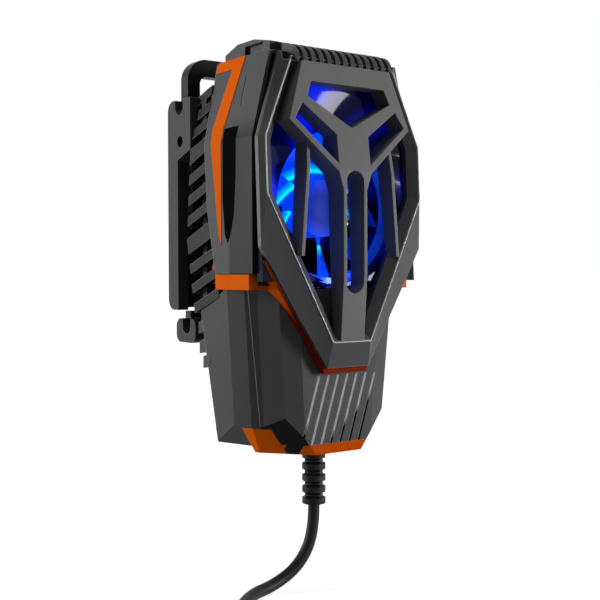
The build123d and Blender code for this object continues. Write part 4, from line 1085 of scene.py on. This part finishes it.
class FAN_OT_shells(bpy.types.Operator):
    """Dress the moulded shells, the cage and the clamp"""

    bl_idname = "fan.shells"
    bl_label = "Dress the shells"

    def execute(self, context):
        finish = context.scene.shell_finish
        # The rim's edges are paled all the way to white: a painted highlight along them
        rim = moulded("Rim grey", finish.rim, rough=0.3, lift=1.0, worn_and_highlit_to=1.0, shine=0.14)
        dress(rim, "front_cover")
        dress(moulded("Panel grey", finish.panel, rough=0.4, lift=0.6), "y_grille")
        dress(moulded("Louvre grey", finish.rim, rough=0.4), "top_louvre")
        dress(shaded_front_housing("Housing with painted shade"), "upper_housing")
        dress(housing_plastic("Housing grey"), "lower_rear_shell")
        dress(grooved("Housing facets"), "lower_front_shell")
        dress(shaded_chin("Accent orange"), "accent_frame")
        dress(shaded_trim("Trim orange"), "bottom_trim")
        black = moulded("Bracket black", finish.bracket, rough=0.4, lift=0.8, worn_and_highlit_to=0.9)
        dress(black, "back_frame", "clamp_jaw")
        deep = moulded("Cage black", finish.cage, rough=0.36, lift=0.8, worn_and_highlit_to=0.9)
        dress(deep, "rib_cage", "hanger_arch")
        # A pale wire along the rim's crest: a painted highlight
        painted_highlight = moulded("Painted crest highlight", finish.crest, rough=0.25, lift=0.0, shine=0.5)
        shown(crest_highlight_bead(painted_highlight), "rim_grey")
        # Near-black plates over the side recesses, as painted shade
        gloss = moulded("Painted shade black", finish.painted_shade, rough=0.5, lift=0.0, shine=0.0)
        for number, side in enumerate((-1.0, 1.0), 1):
            shown(painted_shade(f"side_shade_plate_{number}", side, gloss), "dark_grey")
        return {"FINISHED"}


class FAN_OT_light(bpy.types.Operator):
    """Dress the lit ring, its lamps and the fan in its light"""

    bl_idname = "fan.light"
    bl_label = "Light the fan"

    def execute(self, context):
        dress(lit_ring("Lit ring"), "light_ring", "light_board")
        dress(lit_blades("Fan plastic with painted glow"), "impeller")
        dress(lit_bowl("Lit bowl"), "fan_duct")
        return {"FINISHED"}


class FAN_OT_motor(bpy.types.Operator):
    """Dress the motor, the boards and the fasteners"""

    bl_idname = "fan.motor"
    bl_label = "Dress the motor and boards"

    def execute(self, context):
        steel = metal("Steel", (0.72, 0.72, 0.73), 0.3, 9000.0)
        dress(steel, "rotor_cup", "motor_shaft", "stator", "usb_shell")
        screws = metal("Blackened screws", (0.3, 0.3, 0.31), 0.35, 6000.0)
        dress(screws, "frame_screws", "shell_screws", "board_screws")
        dress(metal("Sintered bronze", (0.72, 0.5, 0.28), 0.5, 4000.0), "motor_bearing")
        dress(metal("Magnet", (0.28, 0.28, 0.3), 0.6, 5000.0), "rotor_magnet")
        dress(windings("Copper windings"), "stator_coils")
        dress(board("Green board", (0.05, 0.25, 0.13)), "motor_board", "control_board")
        white = moulded("White nylon", (0.9, 0.9, 0.87), rough=0.4, lift=0.0)
        dress(white, "lead_socket", "usb_tongue")
        return {"FINISHED"}


class FAN_OT_lead(bpy.types.Operator):
    """Make the lead, with its strain relief, strap and plug"""

    bl_idname = "fan.lead"
    bl_label = "Make the lead"

    def execute(self, context):
        sizes = context.scene.lead_sizes
        rubber = soft_skin("Lead rubber", sizes.colour)
        relief = slotted(turned_grid(relief_profile(sizes), LEAD_TOP, 96), sizes)
        relief = grid_piece("strain_relief_moulded", relief, rubber, close_u=False, caps=True)
        shown(recalculated(relief), "soft_black", "strain_relief")
        strap = grid_piece("lead_strap", strap_grid(*along_coil()), rubber)
        shown(recalculated(strap), "soft_black", "cable_tie")
        points = lead_points()
        grip = plug_grid(points[-1], (points[-1] - points[-2]).normalized())
        grip = grid_piece("plug_grip", grip, rubber, close_u=False, caps=True)
        shown(recalculated(grip), "soft_black", "plug_overmould")
        lead = lead_curve(points, sizes, rubber)
        shown(lead, "soft_black", "cable", "cable_coil", "cable_tail")
        return {"FINISHED"}


def area_lamp(name, place, aim, size, power):
    """A soft rectangular lamp at a place, turned to a point."""
    data = bpy.data.lights.new(name, "AREA")
    data.shape = "RECTANGLE"
    data.size, data.size_y = size
    data.energy = power
    lamp = bpy.data.objects.new(name, data)
    lamp.location = place
    lamp.rotation_euler = (Vector(aim) - Vector(place)).to_track_quat("-Z", "Y").to_euler()
    bpy.context.scene.collection.objects.link(lamp)


def seen_directly(tree):
    """One where the camera, a mirror or glass looks straight at the surface."""
    path = step(tree, "ShaderNodeLightPath").outputs
    seen = calc(tree, "MAXIMUM", path["Is Camera Ray"], path["Is Glossy Ray"])
    return calc(tree, "MAXIMUM", seen, path["Is Transmission Ray"])


class FAN_OT_studio(bpy.types.Operator):
    """Set up the camera, the floor and the lamps"""

    bl_idname = "fan.studio"
    bl_label = "Set up the studio"

    def execute(self, context):
        settings = context.scene.studio_settings
        self.camera(context.scene, settings)
        self.floor(context.scene, settings)
        self.world(context.scene, settings)
        key, side = settings.key, settings.side
        area_lamp("Key", (0.75, -0.7, 0.05), (0, -0.02, 0), (0.2, 0.35), key)
        area_lamp("Side", (-0.75, 0.65, 0.15), (0, 0, 0), (0.15, 0.6), side)
        area_lamp("Top", (-0.1, -0.1, 0.9), (0, 0, 0), (0.4, 0.4), key * 0.3)
        context.scene.view_settings.view_transform = "Standard"
        return {"FINISHED"}

    def camera(self, scene, settings):
        """The camera looks along its heading, dipped and rolled."""
        heading, dip = settings.heading, settings.dip
        ahead = Vector((sin(heading) * cos(dip), cos(heading) * cos(dip), -sin(dip)))
        right = Vector((cos(heading), -sin(heading), 0.0))
        turn = Matrix((right, right.cross(ahead), -ahead)).transposed()
        roll = Matrix.Rotation(settings.roll, 3, "Z")
        data = bpy.data.cameras.new("Camera")
        data.sensor_width = 36.0
        data.lens = settings.lens
        data.shift_y = settings.shift
        data.clip_start = 0.01
        data.clip_end = 50.0
        camera = bpy.data.objects.new("Camera", data)
        camera.matrix_world = Matrix.Translation(settings.place) @ (turn @ roll).to_4x4()
        scene.collection.objects.link(camera)
        scene.camera = camera

    def floor(self, scene, settings):
        """A wide level floor, paler with its distance so that no horizon shows."""
        half = FLOOR_HALF
        corners = [(-half, -half), (half, -half), (half, half), (-half, half)]
        mesh = bpy.data.meshes.new("floor")
        mesh.from_pydata([(x, y, settings.floor) for x, y in corners], [], [(0, 1, 2, 3)])
        floor = bpy.data.objects.new("floor", mesh)
        scene.collection.objects.link(floor)
        made, tree, shader = new_material("Pale floor")
        away = step(tree, "ShaderNodeVectorMath", {0: on_part(tree)}, operation="LENGTH")
        grey = ranged(tree, away.outputs["Value"], *FLOOR_FADE, *FLOOR_GREY, smooth=True)
        white = step(tree, "ShaderNodeCombineColor", {"Red": grey, "Green": grey, "Blue": grey})
        plug_in(
            tree,
            shader,
            Base_Color=(0.45, 0.45, 0.45, 1.0),
            Roughness=0.9,
            Specular_IOR_Level=0.0,
            Emission_Color=mixed(tree, seen_directly(tree), BLACK, white.outputs[0]),
            Emission_Strength=1.0,
        )
        mesh.materials.append(made)

    def world(self, scene, settings):
        """White behind the object, and a plain light from all round."""
        world = bpy.data.worlds.new("Studio")
        world.use_nodes = True
        tree = world.node_tree
        tree.nodes.clear()
        level = ranged(tree, seen_directly(tree), 0.0, 1.0, settings.ambient, 1.0)
        back = step(tree, "ShaderNodeBackground", {"Color": WHITE, "Strength": level})
        step(tree, "ShaderNodeOutputWorld", {"Surface": back.outputs[0]})
        scene.world = world


class FAN_PT_sidebar(bpy.types.Panel):
    """The steps of the cooling fan in the sidebar"""

    bl_idname = "FAN_PT_sidebar"
    bl_label = "Cooling fan"
    bl_space_type = "VIEW_3D"
    bl_region_type = "UI"
    bl_category = "Cooling fan"

    def draw(self, context):
        for made in OPERATORS:
            self.layout.operator(made.bl_idname)
        for name, group in SETTINGS.items():
            box = self.layout.box()
            for field in group.__annotations__:
                box.prop(getattr(context.scene, name), field)


SETTINGS = {
    "shell_finish": ShellFinish,
    "light_finish": LightFinish,
    "lead_sizes": LeadSizes,
    "studio_settings": StudioSettings,
}
OPERATORS = (FAN_OT_studio, FAN_OT_lead, FAN_OT_shells, FAN_OT_light, FAN_OT_motor)


def register():
    """Register the settings, the operators and the panel."""
    for group in SETTINGS.values():
        bpy.utils.register_class(group)
    for name, group in SETTINGS.items():
        setattr(bpy.types.Scene, name, PointerProperty(type=group))
    for made in (*OPERATORS, FAN_PT_sidebar):
        bpy.utils.register_class(made)


def unregister():
    """Take back what was registered, in the opposite order."""
    for made in reversed((*OPERATORS, FAN_PT_sidebar)):
        bpy.utils.unregister_class(made)
    for name, group in SETTINGS.items():
        delattr(bpy.types.Scene, name)
        bpy.utils.unregister_class(group)


def main():
    """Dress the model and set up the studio."""
    register()
    bpy.ops.fan.studio()
    bpy.ops.fan.lead()
    bpy.ops.fan.shells()
    bpy.ops.fan.light()
    bpy.ops.fan.motor()


if __name__ == "__main__":
    main()
